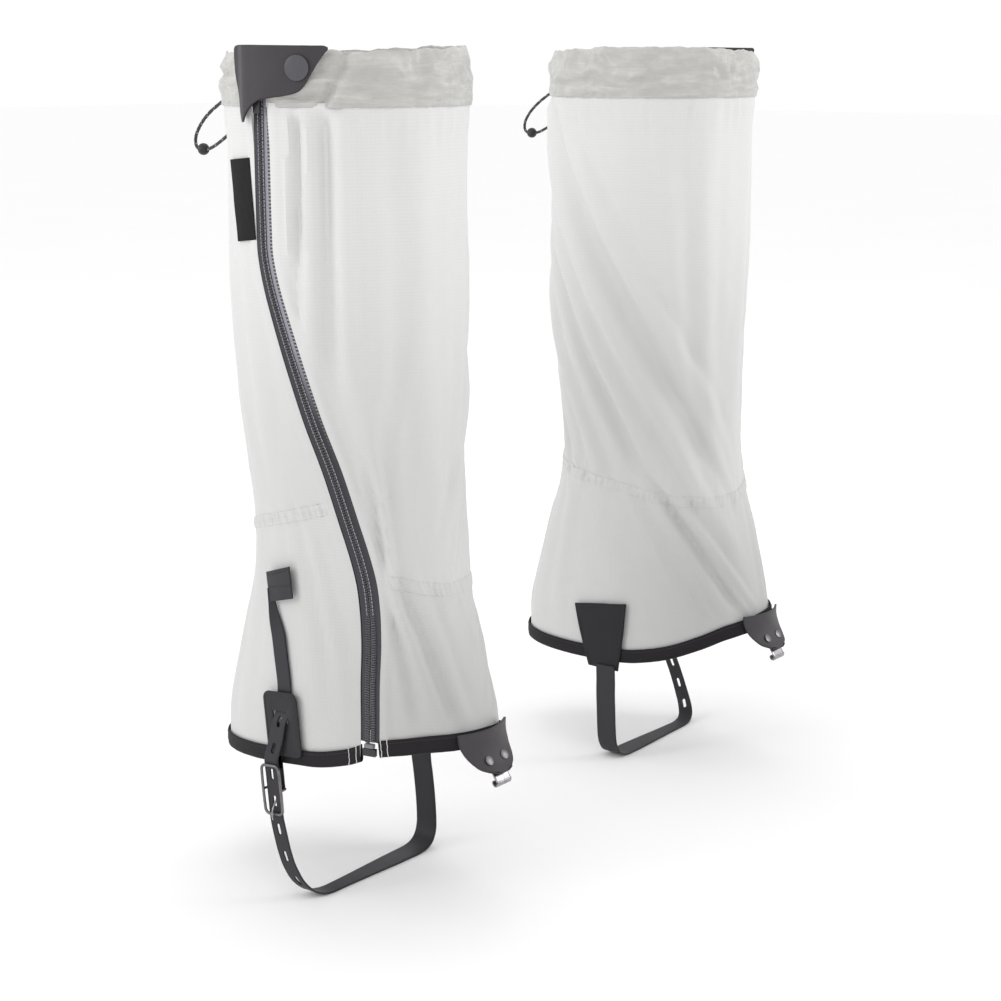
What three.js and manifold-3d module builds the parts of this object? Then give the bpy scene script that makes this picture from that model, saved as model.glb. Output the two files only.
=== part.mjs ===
// A pair of knee-high gaiters as they sit when worn: fabric sleeves with a side zip, a snapped top flap,
// a drawcord at the rim, an elastic ankle line, a bound hem, a toe tab with a lace hook, and an instep
// strap that runs under the foot to a buckle.
// Millimetres, +Z up. The origin is on the ground midway between the two feet, the toes point to -Y and
// the wearer's right foot is at -X. Each gaiter is built as the right one about its own leg axis, and the
// left one is its mirror image. "Around" is an angle about that axis in degrees: 0 is the inner side of
// the leg, 90 the heel, 180 the outer side and 270 the toe.
import * as THREE from 'three';
import { mergeVertices } from 'three/addons/utils/BufferGeometryUtils.js';
import Module from 'manifold-3d';

const wasm = await Module();
wasm.setup();

// ---- Driving dimensions ----
const LEG_AXIS_X = 157;           // each leg axis from the middle plane
const GAP = 0.35;                 // clearance between pieces that rest on each other
const FABRIC = 1.0;               // thickness of a sleeve panel
const RIM_Z = 500;                // top rim above the ground
const CHANNEL_HEIGHT = 29.6;      // drawcord channel at the rim
const CHANNEL_THICKNESS = 3.0;
const REAR_SEAM = 75;             // around position of the seam between front and rear panels
const ELASTIC_HEIGHT = 7;
const TRIM = 1.0;                 // thickness of the elastic, patches and tabs laid on the fabric
const BINDING_HEIGHT = 10;
const ZIP_HALF_WIDTH = 6.25;      // one tape, from the middle of the zip
const ZIP_GAP = 0.9;              // between a tape and the fabric panel beside it
const ZIP_HALF_SPLIT = 0.8;       // from the middle of the zip to the coil
const COIL_WIDTH = 1.7;
const COIL_HEIGHT = 1.0;
const TAPE_THICKNESS = 0.8;
const ZIP_BOTTOM_Z = 99;
const ZIP_BOX_HEIGHT = 8;
const ZIP_BOX_WIDTH = 9;
const SLIDER_Z = RIM_Z - 18.5;
const SLIDER_WIDTH = 8;
const SLIDER_HEIGHT = 9.6;
const SLIDER_PLATE = 1.1;
const PULL_LENGTH = 15;
const PULL_WIDTH = 5;
const PULL_THICKNESS = 1.1;
const PULL_PIN_RADIUS = 0.6;
const FLAP_THICKNESS = 1.2;
const SNAP_AROUND = 200;
const SNAP_Z = RIM_Z - 8.7;
const SNAP_CAP_RADIUS = 7;
const STUD_RADIUS = 2.2;
const STUD_HEIGHT = 1.3;
const LABEL_THICKNESS = 0.6;
const STRAP_THICKNESS = 1.1;
const STRAP_HALF_WIDTH = 5.4;     // at the buckle
const STRAP_HALF_WIDTH_INNER = 8; // at the inner side of the foot
const HOLE_PITCH = 17;            // prong holes along the strap
const HOLE_WIDTH = 2.9;
const HOLE_LENGTH = 6.2;
const ANCHOR_WIDTH = 27.5;
const ANCHOR_HEIGHT = 40;
const ANCHOR_THICKNESS = 1.2;
const FRAME_WIRE = 0.9;           // radius of the buckle's wire
const FRAME_CLEARANCE = 0.8;      // between the strap's edge and the wire
const FRAME_HALF_WIDTH = STRAP_HALF_WIDTH + FRAME_CLEARANCE + FRAME_WIRE; // to the wire's centre
const FRAME_HALF_HEIGHT = 15.2;
const BAR_WIRE = 0.8;             // radius of the buckle's middle bar
const BAR_SETBACK = 3.1;          // middle bar behind the strap's centre
const PRONG_WIRE = 0.65;
const PRONG_CROSSING = 7.6;       // where the prong passes through the strap, below the middle bar
const TAB_THICKNESS = 1.4;
const TAB_HALF_WIDTH = 22;
const RIVET_SPACING = 14;
const RIVET_SHANK = 1.5;
const HOOK_WIDTH = 13;
const HOOK_SHEET = 0.9;
const CORD_RADIUS = 1.0;
const BEAD_RADIUS = 3.65;

// Sleeve cross-sections by height: half-width across, half-length fore and aft, shift to the toe, squareness.
const SECTIONS = [
  { z: 60, across: 50, along: 99, shift: -4, power: 2.35 },
  { z: 100, across: 50, along: 97, shift: -4, power: 2.33 },
  { z: 140, across: 49.5, along: 87, shift: -4, power: 2.25 },
  { z: 165, across: 50, along: 80, shift: -4, power: 2.18 },
  { z: 190, across: 51.5, along: 71.5, shift: -4, power: 2.1 },
  { z: 225, across: 54, along: 66.5, shift: -3.5, power: 2 },
  { z: 260, across: 59, along: 66.6, shift: -2, power: 2 },
  { z: 300, across: 64.5, along: 67.2, shift: -0.5, power: 2 },
  { z: 360, across: 69, along: 69, shift: 0, power: 2 },
  { z: 400, across: 69, along: 69, shift: 0, power: 2 },
  { z: RIM_Z, across: 69, along: 69, shift: 0, power: 2 },
];
// The zip's middle line: around position by height. It is straight above 395 mm, where the slider runs.
const ZIP_LINE = [
  { z: 90, around: 205 }, { z: 140, around: 210 }, { z: 168, around: 214.5 }, { z: 185, around: 217.3 },
  { z: 200, around: 218 }, { z: 215, around: 216.5 }, { z: 236, around: 213 }, { z: 268, around: 207.5 },
  { z: 296, around: 201.2 }, { z: 320, around: 195.8 }, { z: 353, around: 188.2 }, { z: 380, around: 182 },
  { z: 395, around: 180 }, { z: RIM_Z, around: 180 },
];
// Height of the hem's lower edge by around position, which dips under the ankle and rises over the instep.
const HEM_LINE = [
  { around: 0, z: 71.5 }, { around: 30, z: 69.5 }, { around: 60, z: 69 }, { around: 90, z: 70 },
  { around: 120, z: 72 }, { around: 150, z: 76 }, { around: 180, z: 83 }, { around: 195, z: 90 },
  { around: 208, z: 98 }, { around: 225, z: 102.5 }, { around: 240, z: 104.5 }, { around: 270, z: 104 },
  { around: 300, z: 98.5 }, { around: 318, z: 90 }, { around: 335, z: 80.5 }, { around: 350, z: 74 },
  { around: 360, z: 71.5 }, { around: 390, z: 69.5 }, { around: 420, z: 69 }, { around: 450, z: 70 },
];
// Height of the ankle line behind the zip and in front of it.
const ANKLE_REAR = [{ around: 75, z: 211 }, { around: 128, z: 222 }, { around: 156, z: 230 }, { around: 225, z: 252 }];
const ANKLE_FRONT = [
  { around: 200, z: 209 }, { around: 223, z: 204.5 }, { around: 262, z: 195 }, { around: 294, z: 193 },
  { around: 330, z: 196 }, { around: 360, z: 203 }, { around: 390, z: 206.5 }, { around: 435, z: 211 },
];

// ---- Finishes ----
const finish = (color, roughness, metalness) => new THREE.MeshStandardMaterial({ color, roughness, metalness });
const PALE_FABRIC = finish(0xdcdcdb, 0.55, 0);
const GREY_FABRIC = finish(0xc2c2c1, 0.6, 0);
const CHANNEL_FABRIC = finish(0xcfcecb, 0.4, 0);
const ZIP_TAPE = finish(0x4a4952, 0.5, 0);
const LEATHERETTE = finish(0x545055, 0.5, 0);
const STRAP_RUBBER = finish(0x45434a, 0.55, 0);
const BINDING_TAPE = finish(0x3b373c, 0.7, 0);
const LABEL_BLACK = finish(0x262626, 0.8, 0);
const CORD_TEXTILE = finish(0x2a2530, 0.8, 0);
const BEAD_PLASTIC = finish(0x1f1d20, 0.45, 0);
const SNAP_PAINT = finish(0x68676d, 0.4, 0.3);
const STEEL = finish(0xa09ca3, 0.3, 1);

// ---- Curves ----
// Smooth value of one column of a table whose rows are sorted by another column.
function along(rows, by, at, column) {
  let i = 1;
  while (i < rows.length - 1 && rows[i][by] < at) i += 1;
  const [a, b] = [rows[i - 1], rows[i]];
  const step = b[by] - a[by];
  const slope = (r) => {
    const [lo, hi] = [rows[Math.max(r - 1, 0)], rows[Math.min(r + 1, rows.length - 1)]];
    return (hi[column] - lo[column]) / (hi[by] - lo[by]);
  };
  const s = THREE.MathUtils.clamp((at - a[by]) / step, 0, 1);
  const [s2, s3] = [s * s, s * s * s];
  return a[column] * (2 * s3 - 3 * s2 + 1) + b[column] * (3 * s2 - 2 * s3)
    + step * (slope(i - 1) * (s3 - 2 * s2 + s) + slope(i) * (s3 - s2));
}

const signedPower = (value, power) => Math.sign(value) * Math.abs(value) ** power;

// Point on the sleeve, `off` mm outside the fabric's inner face.
function sleevePoint(around, z, off) {
  const angle = THREE.MathUtils.degToRad(around);
  const half = along(SECTIONS, 'z', z, 'across');
  const length = along(SECTIONS, 'z', z, 'along');
  const power = along(SECTIONS, 'z', z, 'power');
  const x = half * signedPower(Math.cos(angle), 2 / power);
  const y = length * signedPower(Math.sin(angle), 2 / power);
  const normal = new THREE.Vector2(signedPower(x / half, power - 1) / half, signedPower(y / length, power - 1) / length);
  normal.normalize();
  return new THREE.Vector3(x + off * normal.x, y + along(SECTIONS, 'z', z, 'shift') + off * normal.y, z);
}

// Around position that lies `reach` mm to the toe side of the zip's middle line at height z.
function besideZip(z, reach) {
  const middle = along(ZIP_LINE, 'z', z, 'around');
  const perDegree = sleevePoint(middle + 0.5, z, 0).distanceTo(sleevePoint(middle - 0.5, z, 0));
  return middle + reach / perDegree;
}

const hemZ = (around) => along(HEM_LINE, 'around', around, 'z');
const ankleRearZ = (around) => along(ANKLE_REAR, 'around', around, 'z');
const ankleFrontZ = (around) => along(ANKLE_FRONT, 'around', around, 'z');
const mix = THREE.MathUtils.lerp;

// ---- Solids ----
// A block of across x up x 1 cells whose corners are each moved by place(u, v, w), all from 0 to 1.
function bentBlock(across, up, place) {
  const block = new THREE.BoxGeometry(1, 1, 1, across, up, 1);
  const corner = block.getAttribute('position');
  for (let i = 0; i < corner.count; i += 1) {
    const p = place(corner.getX(i) + 0.5, corner.getY(i) + 0.5, corner.getZ(i) + 0.5);
    corner.setXYZ(i, p.x, p.y, p.z);
  }
  return block;
}

function solid(geometry) {
  const bare = geometry.clone();
  bare.deleteAttribute('normal');
  bare.deleteAttribute('uv');
  const merged = mergeVertices(bare, 1e-5);
  const vertProperties = new Float32Array(merged.getAttribute('position').array);
  const triVerts = new Uint32Array(merged.getIndex().array);
  return new wasm.Manifold(new wasm.Mesh({ numProp: 3, vertProperties, triVerts }));
}

function surface(body) {
  const mesh = body.getMesh();
  const geometry = new THREE.BufferGeometry();
  geometry.setAttribute('position', new THREE.BufferAttribute(new Float32Array(mesh.vertProperties), 3));
  geometry.setIndex(new THREE.BufferAttribute(new Uint32Array(mesh.triVerts), 1));
  geometry.computeVertexNormals();
  return geometry;
}

const joined = (...pieces) => surface(pieces.map(solid).reduce((a, b) => a.add(b)));
const cut = (piece, ...tools) => surface(tools.map(solid).reduce((a, b) => a.subtract(b), solid(piece)));

function box(sizeX, sizeY, sizeZ, x, y, z) {
  return new THREE.BoxGeometry(sizeX, sizeY, sizeZ).translate(x, y, z);
}

// A cylinder along local Z.
function rod(radius, length, sides) {
  return new THREE.CylinderGeometry(radius, radius, length, sides).rotateX(Math.PI / 2);
}

// A turned piece about local Z from [radius, height] pairs. The pairs start and end on the axis, or the
// first is repeated at the end.
function lathe(outline, sides) {
  const points = outline.map(([radius, height]) => new THREE.Vector2(radius, height));
  const geometry = new THREE.LatheGeometry(points, sides);
  geometry.rotateX(Math.PI / 2);
  return solid(geometry).volume() < 0 ? reversed(geometry) : geometry;
}

function reversed(geometry) {
  const index = geometry.getIndex();
  for (let i = 0; i < index.count; i += 3) {
    const first = index.getX(i);
    index.setX(i, index.getX(i + 1));
    index.setX(i + 1, first);
  }
  return geometry;
}

function tube(points, radius, sides, steps) {
  const path = new THREE.CatmullRomCurve3(points.map((p) => new THREE.Vector3(...p)));
  const round = new THREE.Shape();
  for (let i = 0; i < sides; i += 1) {
    const turn = (2 * Math.PI * i) / sides;
    const [x, y] = [radius * Math.cos(turn), radius * Math.sin(turn)];
    if (i === 0) round.moveTo(x, y);
    else round.lineTo(x, y);
  }
  return new THREE.ExtrudeGeometry(round, { steps, extrudePath: path });
}

// Local axes on the sleeve: X to the toe side, Y up, Z outwards.
function sleeveSeat(around, z, off) {
  const outward = sleevePoint(around, z, 1).sub(sleevePoint(around, z, 0)).normalize();
  const up = new THREE.Vector3(0, 0, 1);
  const toToe = up.clone().cross(outward).normalize();
  return new THREE.Matrix4().makeBasis(toToe, up, outward).setPosition(sleevePoint(around, z, off));
}

// A plate on the sleeve between four corners given as [around, z], from lower left to upper left.
function sleevePatch(corners, inner, thickness, across, up) {
  const [[a0, z0], [a1, z1], [a2, z2], [a3, z3]] = corners;
  return bentBlock(across, up, (u, v, w) => {
    const around = mix(mix(a0, a1, u), mix(a3, a2, u), v);
    const z = mix(mix(z0, z1, u), mix(z3, z2, u), v);
    return sleevePoint(around, z, inner + w * thickness);
  });
}

// A sleeve panel between two side edges, given as around position by height, and two ends by around position.
function sleevePanel(startAt, endAt, bottomAt, topAt, across, up) {
  return bentBlock(across, up, (u, v, w) => {
    let z = mix(bottomAt(180), topAt(180), v);
    let around = 180;
    for (let pass = 0; pass < 12; pass += 1) {
      around = mix(startAt(z), endAt(z), u);
      z = mix(bottomAt(around), topAt(around), v);
    }
    return sleevePoint(around, z, w * FABRIC);
  });
}

// ---- Fabric sleeve ----
const zipFrontEdge = (z) => besideZip(z, ZIP_HALF_WIDTH + ZIP_GAP);
const zipRearEdge = (z) => besideZip(z, -ZIP_HALF_WIDTH - ZIP_GAP);
const seamFront = () => REAR_SEAM + 360;
const seamRear = () => REAR_SEAM + 0.4;
const panelTop = () => RIM_Z - CHANNEL_HEIGHT - GAP;
const panelHem = (around) => hemZ(around) + TRIM + 2.5 * GAP;
const SEAM_HALF_GAP = 0.3;
const FRONT_CELLS = 20;           // columns of facets round the front panels
const REAR_CELLS = 10;

function upperFrontPanel() {
  return sleevePanel(zipFrontEdge, seamFront, (a) => ankleFrontZ(a) + SEAM_HALF_GAP, panelTop, FRONT_CELLS, 9);
}

function upperRearPanel() {
  return sleevePanel(seamRear, zipRearEdge, (a) => ankleRearZ(a) + SEAM_HALF_GAP, panelTop, REAR_CELLS, 9);
}

function lowerFrontPanel() {
  return sleevePanel(zipFrontEdge, seamFront, panelHem, (a) => ankleFrontZ(a) - SEAM_HALF_GAP, FRONT_CELLS, 5);
}

function lowerRearPanel() {
  return sleevePanel(seamRear, zipRearEdge, panelHem, (a) => ankleRearZ(a) - SEAM_HALF_GAP, REAR_CELLS, 5);
}

const CHANNEL_INNER = -0.5;
const CHANNEL_OUTER = CHANNEL_INNER + CHANNEL_THICKNESS;

function topChannel() {
  return bentBlock(28, 2, (u, v, w) => {
    const z = RIM_Z - CHANNEL_HEIGHT * (1 - v);
    const around = mix(besideZip(z, ZIP_HALF_WIDTH + ZIP_GAP + GAP), 360 + besideZip(z, -ZIP_HALF_WIDTH - ZIP_GAP - GAP), u);
    return sleevePoint(around, z, mix(CHANNEL_INNER, CHANNEL_OUTER, w));
  });
}

function ankleElastic(start, end, lineZ, across) {
  return bentBlock(across, 1, (u, v, w) => {
    let z = lineZ(180);
    let around = 180;
    for (let pass = 0; pass < 12; pass += 1) {
      around = mix(start(z), end(z), u);
      z = lineZ(around) + (v - 0.5) * ELASTIC_HEIGHT;
    }
    return sleevePoint(around, z, FABRIC + 2 * GAP + w * TRIM);
  });
}

// The binding is folded over the fabric's lower edge: a channel section that opens upwards. Its facets
// turn at the same around positions as the panels inside it.
function hemBinding() {
  const z = ZIP_BOTTOM_Z + 5;
  const stops = [];
  for (let i = 0; i < FRONT_CELLS; i += 1) stops.push(mix(besideZip(z, ZIP_HALF_WIDTH + ZIP_GAP + GAP), seamFront(), i / FRONT_CELLS));
  for (let i = 0; i <= REAR_CELLS; i += 1) {
    stops.push(mix(seamRear(), besideZip(z, -ZIP_HALF_WIDTH - ZIP_GAP - GAP), i / REAR_CELLS) + 360);
  }
  const lowest = (around) => hemZ(around > 450 ? around - 360 : around);
  const band = (inner, outer, low, high, overrun) => bentBlock(stops.length - 1, 1, (u, v, w) => {
    const i = Math.round(u * (stops.length - 1));
    const end = (i === stops.length - 1 ? overrun : 0) - (i === 0 ? overrun : 0);
    return sleevePoint(stops[i] + end, lowest(stops[i]) + mix(low, high, v), mix(inner, outer, w));
  });
  const fold = 1.4 * GAP;
  const whole = band(-fold - TRIM, FABRIC + fold + TRIM, 0, BINDING_HEIGHT, 0);
  return cut(whole, band(-fold, FABRIC + fold, TRIM, BINDING_HEIGHT + 1, 2));
}

// ---- Zip ----
const TAPE_INNER = 0.1;
const COIL_TOP = TAPE_INNER + TAPE_THICKNESS + COIL_HEIGHT;

// One tape with its coil, swept along the zip's line. side is 1 towards the toe and -1 towards the heel.
function zipStringer(side) {
  const reach = [ZIP_HALF_SPLIT, ZIP_HALF_SPLIT + COIL_WIDTH, ZIP_HALF_SPLIT + COIL_WIDTH + 0.2, ZIP_HALF_WIDTH];
  const height = [COIL_TOP, COIL_TOP, TAPE_INNER + TAPE_THICKNESS, TAPE_INNER + TAPE_THICKNESS];
  return bentBlock(3, 18, (u, v, w) => {
    const column = Math.round((side > 0 ? u : 1 - u) * 3);
    const z = mix(ZIP_BOTTOM_Z + ZIP_BOX_HEIGHT + GAP, RIM_Z - 1.5, v);
    return sleevePoint(besideZip(z, side * reach[column]), z, mix(TAPE_INNER, height[column], w));
  });
}

function zipBox() {
  const body = box(ZIP_BOX_WIDTH, ZIP_BOX_HEIGHT, 3, 0, 0, 1.2);
  const pinSlot = box(1.2, ZIP_BOX_HEIGHT, 1.2, 0, 2, 2.6);
  const z = ZIP_BOTTOM_Z + ZIP_BOX_HEIGHT / 2;
  return cut(body, pinSlot).applyMatrix4(sleeveSeat(along(ZIP_LINE, 'z', z, 'around'), z, 0));
}

const SLIDER_SEAT = () => sleeveSeat(180, SLIDER_Z, 0);
const SLIDER_TOP = COIL_TOP + 0.4;
const CROWN_BORE = PULL_PIN_RADIUS + 0.25;
const PIN_OFF = SLIDER_TOP + SLIDER_PLATE + 1.05;

function zipSlider() {
  const topPlate = box(SLIDER_WIDTH, SLIDER_HEIGHT, SLIDER_PLATE, 0, 0, SLIDER_TOP + SLIDER_PLATE / 2);
  const backPlate = box(SLIDER_WIDTH, SLIDER_HEIGHT, SLIDER_PLATE, 0, 0, TAPE_INNER - 0.4 - SLIDER_PLATE / 2);
  const neck = box(2 * (ZIP_HALF_SPLIT - GAP), 2.6, SLIDER_TOP + 1.4, 0, SLIDER_HEIGHT / 2 - 1.8, SLIDER_TOP / 2 - 0.1);
  const crown = box(2.2, 4, 2.9, 0, 0, SLIDER_TOP + SLIDER_PLATE + 0.95);
  const body = joined(topPlate, backPlate, neck, crown);
  const bore = rod(CROWN_BORE, 6, 12).rotateY(Math.PI / 2).translate(0, 0, PIN_OFF);
  return cut(body, bore).applyMatrix4(SLIDER_SEAT());
}

function zipPull() {
  const armOffset = 1.1 + GAP + 0.5;
  const pin = rod(PULL_PIN_RADIUS, 2 * armOffset, 12).rotateY(Math.PI / 2);
  const arms = [-1, 1].map((side) => box(1, 5, PULL_THICKNESS, side * armOffset, -1.6, 0));
  const tab = box(PULL_WIDTH, PULL_LENGTH - 3.2, PULL_THICKNESS, 0, -3.2 - (PULL_LENGTH - 3.2) / 2, 0);
  const eye = new THREE.CylinderGeometry(1.2, 1.2, 4, 10).rotateX(Math.PI / 2).translate(0, -PULL_LENGTH + 2.6, 0);
  return cut(joined(pin, ...arms, tab), eye).translate(0, 0, PIN_OFF).applyMatrix4(SLIDER_SEAT());
}

// ---- Top flap and snap ----
// Lower and upper edge of the flap, from the rim's height, and its stand-off from the sleeve, by around position.
const FLAP_SHAPE = [
  { around: 164.5, low: -4, high: 3.5, off: 2.9 },
  { around: 168, low: -18, high: 3.5, off: 2.95 },
  { around: 171, low: -35, high: 3.5, off: 4.4 },
  { around: 173, low: -38.3, high: 3.5, off: 5.6 },
  { around: 176, low: -33.5, high: 3.5, off: 6.9 },
  { around: 180, low: -28, high: 3.5, off: 7.0 },
  { around: 184, low: -25.7, high: 3.4, off: 7.0 },
  { around: 190, low: -25, high: 3.3, off: 6.6 },
  { around: 196, low: -23.8, high: 3.2, off: 6.25 },
  { around: 204, low: -21, high: 3.1, off: 6.2 },
  { around: 207, low: -13, high: 3, off: 6.1 },
  { around: 210, low: -6, high: 3, off: 5.9 },
  { around: 214, low: 1, high: 3, off: 5.6 },
];
const FLAP_AT_SNAP = 6.2;

function snapSeat(off) {
  return sleeveSeat(SNAP_AROUND, SNAP_Z, off);
}

function topFlap() {
  const [first, last] = [FLAP_SHAPE[0].around, FLAP_SHAPE[FLAP_SHAPE.length - 1].around];
  const plate = bentBlock(20, 2, (u, v, w) => {
    const around = mix(first, last, u);
    const z = mix(along(FLAP_SHAPE, 'around', around, 'low'), along(FLAP_SHAPE, 'around', around, 'high'), v);
    return sleevePoint(around, RIM_Z + z, along(FLAP_SHAPE, 'around', around, 'off') + w * FLAP_THICKNESS);
  });
  return cut(plate, rod(1.8, 12, 12).applyMatrix4(snapSeat(FLAP_AT_SNAP)));
}

function snapCap() {
  const rise = FLAP_THICKNESS + 0.45;
  const r = SNAP_CAP_RADIUS;
  const outline = [[0, 0], [1.4, 0], [1.4, rise], [r, rise], [r, rise + 0.7], [r * 0.8, rise + 1.5],
    [r * 0.45, rise + 1.9], [0, rise + 2]];
  return lathe(outline, 16).applyMatrix4(snapSeat(FLAP_AT_SNAP));
}

function snapSocket() {
  const top = -1.4 * GAP;
  const bore = STUD_RADIUS + 0.85;
  const outline = [[0, top], [5, top], [5, top - 1.9], [bore, top - 1.9], [bore, top - 0.6], [0, top - 0.6]];
  return lathe(outline, 12).applyMatrix4(snapSeat(FLAP_AT_SNAP));
}

function snapStud() {
  const outline = [[0, 0], [5.2, 0], [5.2, 0.6], [STUD_RADIUS, 0.6], [STUD_RADIUS, 0.6 + STUD_HEIGHT], [0, 0.6 + STUD_HEIGHT]];
  return lathe(outline, 12).applyMatrix4(snapSeat(CHANNEL_OUTER + GAP));
}

// ---- Strap, keeper and anchor ----
const LEAN = THREE.MathUtils.degToRad(6);
const BUCKLE_CENTRE = new THREE.Vector3(-57.5, 16.5, 65.5);
const ANCHOR_CENTRE = new THREE.Vector3(-52.8, 12.2, 106.5);
const SLOT_LENGTH = 7.2;
const SLOT_UP = 4.4;              // slot's centre above the anchor's centre

// Local axes on the outer side of the foot: X to the toe, Y up, Z outwards, leaning back at the top.
function sideSeat(centre, lean) {
  const toToe = new THREE.Vector3(0, -Math.cos(lean), Math.sin(lean));
  const up = new THREE.Vector3(0, Math.sin(lean), Math.cos(lean));
  return new THREE.Matrix4().makeBasis(toToe, up, new THREE.Vector3(-1, 0, 0)).setPosition(centre);
}

const buckleSeat = () => sideSeat(BUCKLE_CENTRE, LEAN);
const atBuckle = (toToe, up, out) => new THREE.Vector3(toToe, up, out).applyMatrix4(buckleSeat());

// The strap's centre line, from its tucked end under the keeper down through the anchor's slot and the
// buckle, under the foot and up to the inner patch.
const TAIL_BOW = 0.9;             // the flat strap stands this far off the rounded fabric at its middle
const TAIL_OFF = FABRIC + GAP + STRAP_THICKNESS / 2;
const TAIL_LINE = [
  { around: 164.6, z: 190, bow: TAIL_BOW }, { around: 165.5, z: 182, bow: TAIL_BOW },
  { around: 167.4, z: 168, bow: TAIL_BOW }, { around: 169.8, z: 150, bow: 0.8 * TAIL_BOW },
  { around: 172, z: 132, bow: 0.4 * TAIL_BOW }, { around: 172.2, z: 122, bow: 0 },
];
const STRAP_LINE = new THREE.CatmullRomCurve3([
  ...TAIL_LINE.map(({ around, z, bow }) => sleevePoint(around, z, TAIL_OFF + bow)),
  ...[[-51.3, 12.7, 117.2], [-51.9, 12.8, 114], [-53.4, 13, 111], [-54.9, 13.3, 107.9], [-55.4, 13.8, 104.5],
    [-55.9, 15.2, 97], [-56.8, 17, 90]].map((p) => new THREE.Vector3(...p)),
  ...[18, 9, 0, -9, -17.5].map((up) => atBuckle(0, up, 0)),
  ...[[-57.8, 13.2, 43], [-58.4, 10.5, 36], [-58.8, 7.5, 28], [-58.4, 4, 19.5], [-56.4, -0.5, 11],
    [-52.4, -4.4, 5.2], [-47.4, -6.7, 2.2], [-42, -7.9, 0.95], [-38, -8.3, 0.62], [-35, -8.5, 0.57],
    [-28, -8.5, 0.57], [0, -8.5, 0.57], [28, -8.5, 0.57], [35, -8.5, 0.57], [38, -8.5, 0.62],
    [42, -8.5, 0.95], [47.4, -8.4, 2.2], [52.4, -8, 5.6], [55.6, -7.4, 12], [56.4, -6.8, 21],
    [56.2, -6, 35], [55.6, -5, 48], [54.8, -4.4, 57], [54.65, -4.1, 63], [54.65, -3.9, 69]]
    .map((p) => new THREE.Vector3(...p)),
]);

// Strap axes at a curve parameter: X across (towards the heel), Y along, Z outwards.
function strapSeat(point, tangent) {
  const across = new THREE.Vector3(0, 1, 0).addScaledVector(tangent, -tangent.y).normalize();
  const outward = across.clone().cross(tangent);
  return new THREE.Matrix4().makeBasis(across, tangent, outward).setPosition(point);
}

function strapHalfWidth(x) {
  return mix(STRAP_HALF_WIDTH, STRAP_HALF_WIDTH_INNER, THREE.MathUtils.smoothstep(x, -38, 40));
}

function prongHoleCut(distance) {
  const centre = atBuckle(0, 0, 0);
  const total = STRAP_LINE.getLength();
  let nearest = 0;
  for (let u = 0; u <= 1; u += 0.0005) {
    if (STRAP_LINE.getPointAt(u).distanceTo(centre) < STRAP_LINE.getPointAt(nearest).distanceTo(centre)) nearest = u;
  }
  const at = nearest + distance / total;
  const straight = HOLE_LENGTH - HOLE_WIDTH;
  const ends = [-1, 1].map((side) => rod(HOLE_WIDTH / 2, 4, 8).translate(0, (side * straight) / 2, 0));
  const hole = joined(...ends, box(HOLE_WIDTH, straight, 4, 0, 0, 0));
  return hole.applyMatrix4(strapSeat(STRAP_LINE.getPointAt(at), STRAP_LINE.getTangentAt(at)));
}

function instepStrap() {
  const spans = STRAP_LINE.points.length - 1;
  const ribbon = bentBlock(1, spans, (u, v, w) => {
    const point = STRAP_LINE.getPoint(v);
    const half = strapHalfWidth(point.x);
    return new THREE.Vector3((u - 0.5) * 2 * half, 0, (w - 0.5) * STRAP_THICKNESS)
      .applyMatrix4(strapSeat(point, STRAP_LINE.getTangent(v)));
  });
  const holes = [-3, -2, -1, 0, 1, 2, 3].map((step) => prongHoleCut(PRONG_CROSSING + step * HOLE_PITCH));
  return cut(ribbon, ...holes);
}

function keeperTab() {
  const inner = FABRIC + 2 * GAP + STRAP_THICKNESS + 2 * TAIL_BOW;
  return sleevePatch([[163.5, 181.5], [178.5, 187.5], [177.5, 207], [160, 199.5]], inner, TRIM, 6, 2);
}

function roundedPlate(width, height, radius, chamfer, thickness) {
  const [w, h, r, c] = [width / 2, height / 2, radius, chamfer];
  const outline = new THREE.Shape();
  outline.moveTo(-w + c, -h);
  outline.lineTo(w - c, -h);
  outline.lineTo(w, -h + c);
  outline.lineTo(w, h - r);
  outline.absarc(w - r, h - r, r, 0, Math.PI / 2);
  outline.absarc(-w + r, h - r, r, Math.PI / 2, Math.PI);
  outline.lineTo(-w, -h + c);
  outline.closePath();
  return new THREE.ExtrudeGeometry(outline, { depth: thickness, bevelEnabled: false, curveSegments: 5 });
}

const LOOP_BORE = BAR_WIRE + 0.4;
const LOOP_OUTER = LOOP_BORE + 1.05;
const LOOP_WIDTH = 9;

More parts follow.
